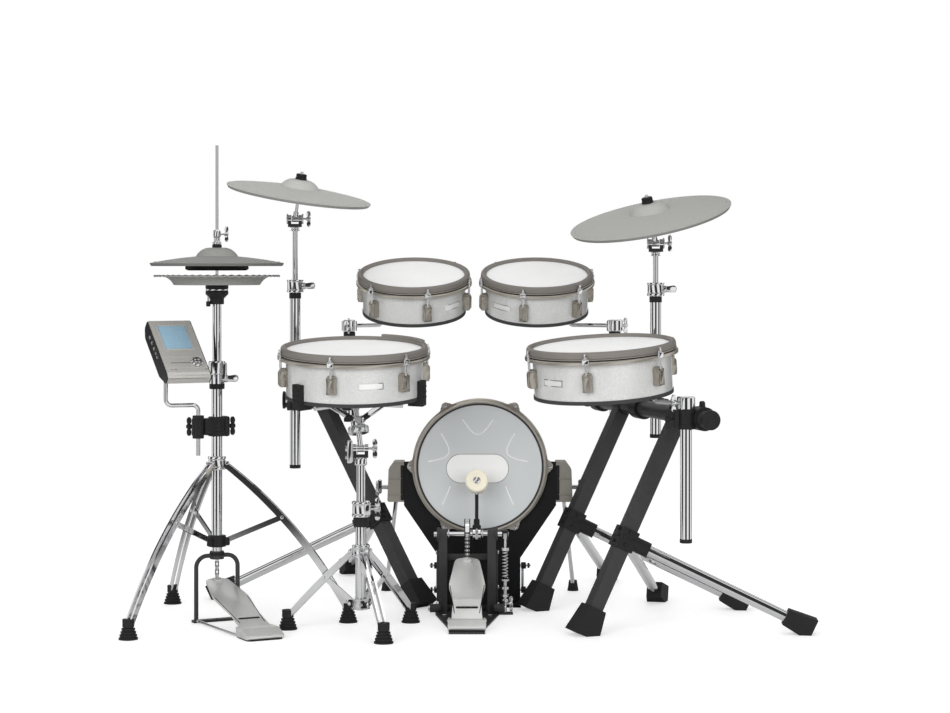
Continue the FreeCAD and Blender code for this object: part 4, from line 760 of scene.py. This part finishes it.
def heel_wedge(name, m, hinge, level, length, half, low):
    """Rounded heel wedge with hinge ears and pin over a thin rubber sole."""
    start, end, high = hinge + 6, hinge + 6 + length, level + 5
    bm = bmesh.new()
    side = soft([(start, low + 3), (end - 3, low + 3), (end, low + 6), (end, low + 9), (end - 5, low + 12),
                 (start + 14, high), (start, high)], 3, 4)
    plate(bm, side, 2 * half + 14, m @ at(0, half + 7, 0) @ UPRIGHT, 1.6)
    for way in (-1, 1):
        block(bm, (24, 7, high - low - 2), m @ at(hinge - 2, way * (half + 4.2), (high + low) / 2 + 1), 2)
    pin(bm, m, (hinge, -half - 9, level), (hinge, half + 9, level), 2.5, 16)
    add(name + "_wedge", bm, BOARD, "stands", "board_metal", name)
    bm = bmesh.new()
    sole = soft([(start - 18, -half - 6), (end - 8, -half - 6), (end - 1, -half), (end - 1, half),
                 (end - 8, half + 6), (start - 18, half + 6)], 5, 4)
    plate(bm, sole, 3.2, m @ at(0, 0, low), 0.8)
    add(name + "_sole", bm, RUBBER, "stands", "rubber_black")


PEDAL_X = -30
HAT_HEEL, HAT_HINGE, KICK_HEEL, KICK_HINGE = 245, 18.5, 365, 20.5
HAT_TURN = at(*HAT) @ spin(HAT_YAW)
hat_board, hat_length = board_frame(HAT_TURN @ Vector((HAT_HEEL, 0, HAT_HINGE)), HAT_YAW, 76, 253)
kick_board, kick_length = board_frame((PEDAL_X, -KICK_HEEL, KICK_HINGE), 270, 108, 225)
footboard("hihat_footboard", "hihat_board", hat_board, hat_length, 26, 42, 36, 0.62)
footboard("pedal_footboard", "kick_board", kick_board, kick_length, 27, 42, 35, 0.55)
heel_wedge("hihat_heel", HAT_TURN, HAT_HEEL, HAT_HINGE, 50, 36, 0)
heel_wedge("pedal_heel", at(PEDAL_X, 0, 0) @ spin(270), KICK_HEEL, KICK_HINGE, 46, 35, 4)
rails = bmesh.new()
for way in (-1, 1):
    pin(rails, HAT_TURN, (6, way * 50, 5), (238, way * 40, 5), 3, 16)
    pin(rails, HAT_TURN, (4, way * 50, 5), (16, way * 49.5, 5), 4.6, 16, 1.2)
add("hihat_heel_rails", rails, CHROME, "stands", "chrome")


CHAIN_PITCH = 9


def chain(name, body, m, low, count, slot):
    """Roller chain: bright rollers across, with dark side plates in turn inside and outside."""
    bright, bm = bmesh.new(), bmesh.new()
    for i in range(count + 1):
        z = low + 2.5 + i * CHAIN_PITCH
        pin(bright, m, (0, -5.2, z), (0, 5.2, z), 1.9, 12, 0.4)
        pin(bright, m, (0, -2.1, z), (0, 2.1, z), 2.9, 14, 0.4)
        if i == count:
            continue
        shift = 3.6 if i % 2 else 2.3
        outline = soft([(-2.9, -2.6), (2.9, -2.6), (2.4, 4.5), (2.9, 11.6), (-2.9, 11.6), (-2.4, 4.5)], 2.2)
        for side in (-1, 1):
            face = m @ at(0, side * shift + 0.6, z) @ UPRIGHT
            plate(bm, outline, 1.2, face, 0.25)
    add(name + "_links", bm, CHAIN, body, slot, name)
    add(name + "_rollers", bright, BOARD, body, slot, name)


chain("hihat_chain", "hihat_pull_rod", HAT_TURN, 96.1, 4, "chrome")
chain("pedal_chain", "kick_chain", at(PEDAL_X, -149.5, 0) @ spin(270), 129, 6, "black_steel")


BEATER_X, BEATER_LEAN, BEATER_REACH = -8, radians(15), 124
AXLE_Y, AXLE_Z = -110, 182
SPRING_X, SPRING_Y, SPRING_R = 58, -136, 6
COILS, COIL_STEPS, COIL_PITCH = 8, 24, 7.7


def kick_pedal():
    """Sprocket, beater clamp, felt, spring, bolts and cross bars of the kick pedal."""
    bm = bmesh.new()
    sprocket = [(29, -7), (36.4, -7), (36.4, -4.6), (34.6, -4), (34.6, 4), (36.4, 4.6), (36.4, 7), (29, 7)]
    lathe(bm, soft(sprocket, 0.7), at(PEDAL_X, AXLE_Y, AXLE_Z) @ ACROSS, 60)
    block(bm, (20, 26, 34), at(BEATER_X, -108, 186) @ TURN(-BEATER_LEAN, 4, "X"), 3)
    up = Vector((0, sin(BEATER_LEAN), cos(BEATER_LEAN)))
    foot = Vector((BEATER_X, AXLE_Y, AXLE_Z))
    bar(bm, foot + up * 18, foot + up * 96, 4.1, 18)
    bar(bm, foot + up * 16, foot + up * 36, 7, 20, 2)
    block(bm, (14, 20, 22), at(SPRING_X, -118, AXLE_Z), 2.4)
    add("pedal_sprocket", bm, BLACK, "beater", "black_plastic")
    bm = bmesh.new()
    for z in (-9, 0, 9):
        bar(bm, (BEATER_X, -121, 186 + z), (BEATER_X, -127, 184 + z), 3.6, 14, 0.8)
    for x in (-75, 4):
        bar(bm, (x, AXLE_Y, AXLE_Z), (x + 3, AXLE_Y, AXLE_Z), 11, 30)
    add("pedal_bolts", bm, CHROME, "beater", "chrome")
    middle = foot + up * BEATER_REACH
    face = at(*middle) @ TURN(radians(-90) - BEATER_LEAN, 4, "X")
    bm = bmesh.new()
    lathe(bm, soft([(0, -21), (24, -21), (27, -17), (27, 17), (24, 21), (0, 21)], 4, 5), face, 72)
    add("beater_felt", bm, FELT, "beater", "felt", "pedal_beater")
    bm = bmesh.new()
    lathe(bm, soft([(0, -26), (4, -26), (4, -24), (8.5, -23), (8.5, -20.6), (0, -20.6)], 0.8), face, 24)
    bar(bm, middle - up * 31, middle - up * 26, 6, 20)
    add("beater_nut", bm, CHROME, "beater", "chrome")
    bm = bmesh.new()
    coil = []
    for i in range(COILS * COIL_STEPS + 1):
        angle = 2 * pi * i / COIL_STEPS
        coil.append((SPRING_X + SPRING_R * cos(angle), SPRING_Y + SPRING_R * sin(angle),
                     84 + COIL_PITCH * i / COIL_STEPS))
    sweep(bm, coil, 1.1, 10)
    coil = add("pedal_spring_coil", bm, BOARD, None, "chrome", "pedal_spring")
    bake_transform(coil)
    plates, screws = bmesh.new(), bmesh.new()
    block(plates, (96, 9, 14), at(PEDAL_X, -98, 128), 2)
    block(plates, (110, 12, 9), at(PEDAL_X, -92, 10), 2)
    for side in (-1, 1):
        x = PEDAL_X + side * 57
        block(plates, (24, 30, 12), at(x, AXLE_Y, 12), 2.5)
        block(plates, (6, 18, 120), at(x + side * 11.5, AXLE_Y, 86), 1.8)
        bar(plates, (x + side * 6, AXLE_Y, AXLE_Z), (x + side * 14, AXLE_Y, AXLE_Z), 16, 36, 2)
        bar(plates, (x + side * 4, -150, 16), (x + side * 30, -150, 16), 10, 28, 2)
        for z in (20, 60, 140):
            bar(screws, (x + side * 13, AXLE_Y, z), (x + side * 17, AXLE_Y, z), 4.2, 16, 1)
        bar(screws, (x + side * 28, -150, 16), (x + side * 34, -150, 16), 6, 20, 1)
        for out, y in ((52, -180), (39, -330)):
            pin(screws, at(PEDAL_X + side * out, y, 0), (0, 0, 3), (0, 0, 6.5), 5, 18, 1)
    add("pedal_side_plates", plates, BLACK_STEEL, "stands", "black_steel")
    for low, high, r, segs in ((28, 36, 8, 24), (40, 47, 9, 6), (77, 82, 9.4, 24)):
        pin(screws, at(SPRING_X, SPRING_Y, 0), (0, 0, low), (0, 0, high), r, segs, 1)
    wing_bolt(screws, at(62, SPRING_Y, 24), 8, 0.8)
    add("pedal_screws", screws, CHROME, "stands", "chrome")


kick_pedal()


# Kick tower

def kick_tower():
    """Grey head with a bare white patch and pale lines, hoop, ears, screws and side knobs."""
    face = [(0, -HEAD_T), (KICK_R - 0.5, -HEAD_T), (KICK_R - 0.5, 0), (0, 0)]
    turned("kick_face", face, 0.6, KICK, 144, KICK_GREY, "stands", "kick_head", "kick_head")
    bm = bmesh.new()
    right = []
    for angle in range(-90, 91, 9):
        turn = radians(angle)
        right.append((40 + 34 * cos(turn), 34 * sin(turn)))
    pill = right + [(-x, -y) for x, y in right]
    patch, lines = KICK @ at(-6, -4, 0), KICK @ at(-5, 0, -0.6)
    plate(bm, pill, 0.8, patch, 0.3)
    add("kick_patch", bm, PATCH, "stands", "kick_head")
    bm = bmesh.new()
    sweep(bm, [patch @ Vector((x, y, 0.1)) for x, y in pill + pill[:1]], 0.9, 8)
    add("kick_patch_edge", bm, TAUPE, "stands", "kick_head")
    bm = bmesh.new()
    for turn in (0, 66, -66):
        curve = []
        for k in range(25):
            t = k / 12 - 1
            rise = (hypot(t, 0.7) - 0.7) / (hypot(1, 0.7) - 0.7)
            curve.append(lines @ spin(turn) @ Vector((37 * t, 77 + 36.5 * rise, 0)))
        sweep(bm, curve, 1.5, 10)
    for side in (-1, 1):
        curve = ((66, -46), (72, -62), (79, -78), (85, -90))
        sweep(bm, [lines @ Vector((side * x, y, 0)) for x, y in curve], 1.5, 10)
    add("kick_lines", bm, PATCH, "stands", "kick_head")
    inner, outer = KICK_R + 1, KICK_R + 6
    bm = bmesh.new()
    lathe(bm, soft([(KICK_R - 2, 0.2), (KICK_R, 5), (KICK_R + 3, 6), (outer - 1, 4), (outer, -4), (outer, -14),
                    (outer + 4, -15), (outer + 4, -20), (inner, -20), (inner, 0.2)], 1.8), KICK, 144)
    ear = soft([(-3, -30), (7, -11), (14, -8), (17, 0), (14, 8), (7, 11), (-3, 30)], 5)
    for i in range(LUGS):
        plate(bm, ear, 9, KICK @ spin(360 / LUGS * i) @ at(outer, 0, -19.5), 1.6)
    add("kick_rim", bm, FLANGE, "stands", "lug_metal", "kick_hoop")
    # Painted shade: a thin black ring on the head just inside the hoop, drawn as the dark gap line between
    # head and hoop.
    gap_shade_ring = [(KICK_R - 5.4, 0.1), (KICK_R - 5, 1.6), (KICK_R - 1, 2.2), (KICK_R - 1, 0.1)]
    turned("kick_painted_gap_shade", gap_shade_ring, 0.5, KICK, 144, BASE, "stands", "rubber_black")
    bright, black, ribs = bmesh.new(), bmesh.new(), bmesh.new()
    for i in range(LUGS):
        here = KICK @ spin(360 / LUGS * i)
        pin(bright, here, (outer + 9, 0, -12), (outer + 9, 0, -6), 4.6, 20, 1)
        block(bright, (5, 5, 6), here @ at(outer + 9, 0, -4), 0.8)
    for side in (-1, 1):
        bar(bright, (side * 102, 22, 30), (side * 102, 22, 98), 3.2, 16)
        for z in (34, 92):
            bar(bright, (side * 96, 22, z), (side * 121, 22, z), 2.6, 14)
            bar(black, (side * 98, 22, z), (side * 110, 22, z), 8, 24, 2)
            block(black, (5, 5, 12), at(side * 116, 22, z), 1)
        wing_bolt(bright, at(side * 224, 50.5, 274) @ spin(90 - 90 * side) @ TURN(0.5, 4, "X"), 20, 0.9)
        block(black, (8, 44, 84), at(side * 186, 40, 290), 2.4)
        for z in (262, 300):
            block(ribs, (30, 5, 3), at(side * 203, 20.4, z), 1.2)
    add("kick_screws", bright, CHROME, "stands", "chrome")
    add("kick_knobs", black, BLACK, "stands", "black_plastic")
    add("kick_bracket_ribs", ribs, TAUPE, "stands", "bracket_taupe")


kick_tower()


# Racks, posts and clamps

CLAMP_Z = 444
RACK_Z, HUB_SHARE, CYMBAL_POST = 478, 0.417, 700
POSTS = (((-453, 190), (-453, 154), 316, 747), ((376.09, -109.12), (410.78, -99.49), 410, 742),
         ((-320, 190), (-320, 154), 430, 650), ((297.67, 173.19), (332.36, 182.83), 430, 650),
         ((479.93, -482.97), (445.25, -492.6), 212, 500))
UNITS = (((443, -350), (228, -430)), ((343, 10), (128, -70)), ((-390, 190), (-145, -30)))
TUBES = (((493.85, -533.07), (270.74, 270.15)), ((-480, 190), (-260, 190)))


def racks():
    """Moulded clamps, end plugs, collars, wing bolts and hub screws of both racks."""
    black, bright = bmesh.new(), bmesh.new()
    for (tx, ty), (px, py), low, top in POSTS:
        out = degrees(atan2(py - ty, px - tx))
        here, post = at(px, py, RACK_Z) @ spin(out), at(px, py, 0)
        block(black, (23, 30, 36), here @ at(-24.6, 0, 0), 4)
        for z in (-15, 15):
            sleeve(black, here, [(20.6, z - 5), (20.6, z + 5)], 12.9)
        block(black, (13, 24, 40), here @ at(24, 0, 0), 4)
        plate(black, soft([(-9, -24), (9, -24), (9, 26), (4, 34), (-4, 34), (-9, 26)], 4), 9,
              here @ at(-44, -4.5, 4) @ UPRIGHT @ ACROSS, 2)
        wing_bolt(black, here @ at(30, 0, 0), 10)
        pin(bright, here, (-6, -16, 0), (-6, -24, 0), 5, 6, 0.8)
        sleeve(black, post, [(13.6, low - 3), (13.6, low + 6)], 4)
        if top > CYMBAL_POST:
            collar(bright, at(px, py, top), 12.8, 20.4, 19.1, (-3, 3, 4, 23, 24, 28))
            sleeve(black, post, [(14.6, top - 18), (14.6, top - 4)], 12.75)
            lever(bright, at(px, py, top + 12.5))
        else:
            cap = at(px, py, top + 12) @ spin(out)
            block(bright, (34, 30, 30), cap, 4)
            wing_bolt(bright, cap @ at(16, 0, 0), 10, 0.9)
            sleeve(black, post, [(14.4, top - 16), (14.4, top - 3)], 12.75)
    for (tx, ty), (fx, fy) in UNITS:
        top, foot = Vector((tx, ty, RACK_Z)), Vector((fx, fy, 16))
        m = along(foot, top)
        m.translation = foot + (top - foot) * HUB_SHARE
        for turn in range(4):
            side = m @ spin(90 * turn)
            for z in (-14.4, 14.4):
                pin(black, side, (20, 0, z), (24, 0, z), 4.4, 6, 0.8)
            block(black, (4, 26, 7), side @ at(20.4, 0, 0), 1.5)
    for (nx, ny), (fx, fy) in TUBES:
        m = along((nx, ny, RACK_Z), (fx, fy, RACK_Z))
        length = hypot(fx - nx, fy - ny)
        for low in (-6, length):
            sleeve(black, m, [(17, low), (21.6, low), (21.6, low + 6), (17, low + 6)], 4)
        for (tx, ty), _ in UNITS:
            hub = m.inverted() @ Vector((tx, ty, RACK_Z))
            z = hub.z
            if hub.xy.length < 1:
                sleeve(black, m, [(21.4, z - 24), (22.6, z - 20), (22.6, z + 20), (21.4, z + 24)], 19.1)
                for turn in range(4):
                    side = m @ at(0, 0, z) @ spin(45 + 90 * turn)
                    pin(black, side, (21, 0, 12), (25, 0, 12), 4.4, 6, 0.8)
    add("rack_mouldings", black, BLACK, "stands", "black_plastic")
    add("rack_bolts", bright, CHROME, "stands", "chrome")


racks()


# Tilters of the two cymbals

def tilter(name, pivot):
    """Serrated cheeks, lower collar and wing bolt of a cymbal's tilter."""
    bm = bmesh.new()
    m = at(*pivot)
    for angle in (180, 0):
        cheek = m @ spin(angle)
        sleeve(bm, cheek @ ACROSS, [(9, 16.5), (11.5, 18), (11.5, 20.5)], 0, 30, 0.8)
        for i in range(12):
            spoke = cheek @ TURN(radians(30 * i), 4, "X")
            block(bm, (3.4, 2, 2.4), spoke @ at(18.8, 0, 11.4), 0.5)
    sleeve(bm, m, [(11, -30), (11, -27), (9.6, -26), (9.6, -23), (13, -20)], 6.4)
    wing_bolt(bm, m @ at(19, 0, 0), 12, 0.9)
    add(name + "_tilter", bm, CHROME, name + "_slider", "chrome")


tilter("crash", CRASH)
tilter("ride", RIDE)


# Snare stand

SNARE_BASE = Vector((-265, -385, 0))
TILT_Z = 405
KNURLS, WHEEL_SHARE, BASKET_SHARE = 40, 0.3, 0.52


def snare_stand():
    """Collars, rivets, tilter, knurled wheel and basket joints of the snare stand."""
    stem = at(*SNARE_BASE)
    bright, black = bmesh.new(), bmesh.new()
    collar(bright, stem, 12.1, 20, 18.4, (254, 259, 261, 281, 283, 288))
    block(bright, (14, 34, 26), stem @ at(15, 0, 271), 3)
    wing_bolt(bright, stem @ at(20, 0, 271), 14, 1.2)
    sleeve(black, stem, [(15.5, 232), (17, 236), (17, 250), (15.5, 253)], 12.1)
    for z in (179, 62):
        collar(bright, stem @ at(0, 0, z), 12.2, 20.2, 19.3, (-12, -8, -7, 7, 8, 12))
    for angle in LEGS:
        leg = stem @ spin(angle - 10)
        for x, z in ((82.5, 118), (24, 179), (24, 62)):
            pin(bright, leg, (x, -10, z), (x, 10, z), 4, 18, 1.2)
        block(black, (14, 12, 16), leg @ at(21, 0, 62), 2)
    add("snare_stand_collars", bright, CHROME, "stands", "chrome")
    add("snare_stand_bands", black, BLACK, "stands", "black_plastic")
    bm = bmesh.new()
    sleeve(bm, stem, [(12.6, 368), (14, 371), (14, 383), (12.6, 386)], 9.8)
    block(bm, (12, 24, 50), stem @ at(-24, 0, 398), 3)
    pin(bm, stem, (-34, 0, TILT_Z), (-29, 0, TILT_Z), 7, 6, 1)
    pin(bm, stem, (-34, 0, 385), (-29, 0, 385), 4, 18, 1)
    wing_bolt(bm, stem @ at(17, 0, TILT_Z), 12)
    add("snare_tilter", bm, CHROME, "snare_slider", "chrome")
    pivot = SNARE_BASE + Vector((0, 0, TILT_Z))
    centre = SNARE @ Vector((0, 0, -111.5))
    line = centre - pivot
    bright, black = bmesh.new(), bmesh.new()
    m = along(pivot, centre)
    low = line.length * WHEEL_SHARE
    sleeve(bright, m, [(20, low - 1), (22.6, low + 1), (22.6, low + 15), (20, low + 17)], 5, 60)
    for i in range(KNURLS):
        block(bright, (1.8, 1.6, 12), m @ spin(360 / KNURLS * i) @ at(22.4, 0, low + 8), 0.5)
    mid = line.length * BASKET_SHARE
    sleeve(bright, m, [(13, mid - 12), (15, mid - 9), (15, mid + 9), (13, mid + 12)], 5)
    start = pivot + line * BASKET_SHARE
    for angle in (102, 222, 342):
        arm = SNARE @ spin(angle)
        end = arm @ Vector((SNARE_R * 0.55, 0, -109.5))
        reach = end - start
        bar(black, start + reach * 0.2, start + reach * 0.36, 6.4, 20, 1.5)
        way = along(start, end)
        bar(bright, start + reach * 0.06, start + reach * 0.17, 8, 20, 2)
        pin(bright, way, (0, -8, 14), (0, 8, 14), 4, 16, 1)
        block(bright, (6, 13, reach.length * 0.6), way @ at(0, 0, reach.length * 0.66), 1.5)
        block(bright, (40, 17, 6), arm @ at(30, 0, -114.6), 2)
        block(bright, (92, 7, 16), arm @ at(68, 0, -118.6), 2)
        for x in (28, 44, 84):
            pin(bright, arm, (x, 0, -119.4), (x, 0, -113), 4, 18, 1)
        block(black, (24, 15, 9), arm @ at(122, 0, -111.8), 2.5)
        block(black, (11, 22, 44), arm @ at(160, 0, -88), 4)
        for z in (-76, -88, -100):
            block(black, (2.6, 20, 4), arm @ at(165.4, 0, z), 1)
    add("snare_basket_joints", bright, CHROME, "snare", "chrome")
    add("snare_basket_grips", black, RUBBER, "snare", "rubber_black")


snare_stand()


# Sound module and its clamp

def module():
    """Screen, bezel, dial, buttons, sockets and side cheeks of the sound module, and its clamp."""
    m = at(-674, -330, 625) @ spin(28) @ TURN(radians(42), 4, "X")
    bm = bmesh.new()
    plate(bm, soft([(-32.6, -1.4), (32.6, -1.4), (32.6, 73.4), (-32.6, 73.4)], 1), 1.2, m @ at(0, 0, -2), 0.3)
    add("module_screen", bm, LCD, "module", "module_body")
    bm = bmesh.new()
    for x, y, w, h in ((0, 75.2, 70, 2.6), (0, -3.2, 70, 2.6), (-34.2, 36, 2.6, 80), (34.2, 36, 2.6, 80)):
        block(bm, (w, h, 2), m @ at(x, y, 0.1), 0.7)
    for y in (-28, -62):
        block(bm, (99, 1.4, 1), m @ at(0, y, 0.1), 0.4)
    block(bm, (99.6, 12, 8), m @ at(0, -84, -6), 3.4)
    add("module_bezel", bm, MODULE, "module", "module_body")
    bm = bmesh.new()
    lathe(bm, soft([(0, 0), (14, 0), (13, 3.4), (11.4, 4.4), (11.4, 6), (0, 6.4)], 1), m @ at(28, -46, 0), 48)
    for i in range(4):
        block(bm, (4.6, 4.6, 3), m @ at(28, -46, 6.4) @ spin(45 + 90 * i) @ at(5.4, 0, 0) @ spin(45), 1.2)
    for x in (-38, -28, 44):
        lathe(bm, soft([(0, 0), (2.8, 0), (2.6, 1.8), (0, 2)], 0.6), m @ at(x, -70, -0.2), 20)
    sideways = Matrix(((0, 0, 1, 0), (1, 0, 0, 0), (0, 1, 0, 0), (0, 0, 0, 1)))
    for y, r in ((52, 4.4), (34, 4.4), (16, 4.4), (0, 3.2), (-12, 3.2)):
        sleeve(bm, m @ sideways @ at(y, -15, 0), [(r, -53), (r, -51)], 2, 24, 0.4)
    add("module_bright", bm, CHROME, "module", "chrome")
    bm = bmesh.new()
    side = [(-91, -5), (-77, -0.8), (90.6, -0.8), (90.6, -23), (74, -38.6), (-50, -38.6), (-91, -21)]
    for x in (-52, 50.2):
        plate(bm, soft(side, 4), 1.8, m @ sideways @ at(0, 0, x), 0.5)
    block(bm, (52, 1.2, 0.8), m @ at(-8, -46, 0), 0.3)
    block(bm, (70, 90, 6), m @ at(0, 10, -39), 2.4)
    for y in (-20, 40):
        block(bm, (56, 6, 4), m @ at(0, y, -43), 1.4)
    add("module_sides", bm, BLACK, "module", "black_plastic")
    arm = Vector((-640, -262, CLAMP_Z))
    turn = degrees(atan2(arm.y - HAT.y, arm.x - HAT.x))
    here = at(HAT.x, HAT.y, CLAMP_Z) @ spin(turn)
    bm = bmesh.new()
    block(bm, (30, 34, 38), here @ at(20, 0, 0), 5)
    block(bm, (14, 30, 46), here @ at(-20, 0, 0), 5)
    for z in (-16, 16):
        sleeve(bm, here, [(20.4, z - 5), (20.4, z + 5)], 12.2)
    collar(bm, at(*arm), 5, 13, 15, (-26, -20, -18, 18, 20, 26))
    wing_bolt(bm, here @ at(-26, 0, 0) @ spin(180), 10)
    wing_bolt(bm, at(*arm) @ spin(turn - 60) @ at(14, 0, 0), 10)
    sleeve(bm, at(*HAT), [(16, 529), (17.4, 530), (17.4, 541), (16, 542)], 12.2)
    add("module_clamp", bm, BLACK, "stands", "black_plastic")


module()


stage_set()
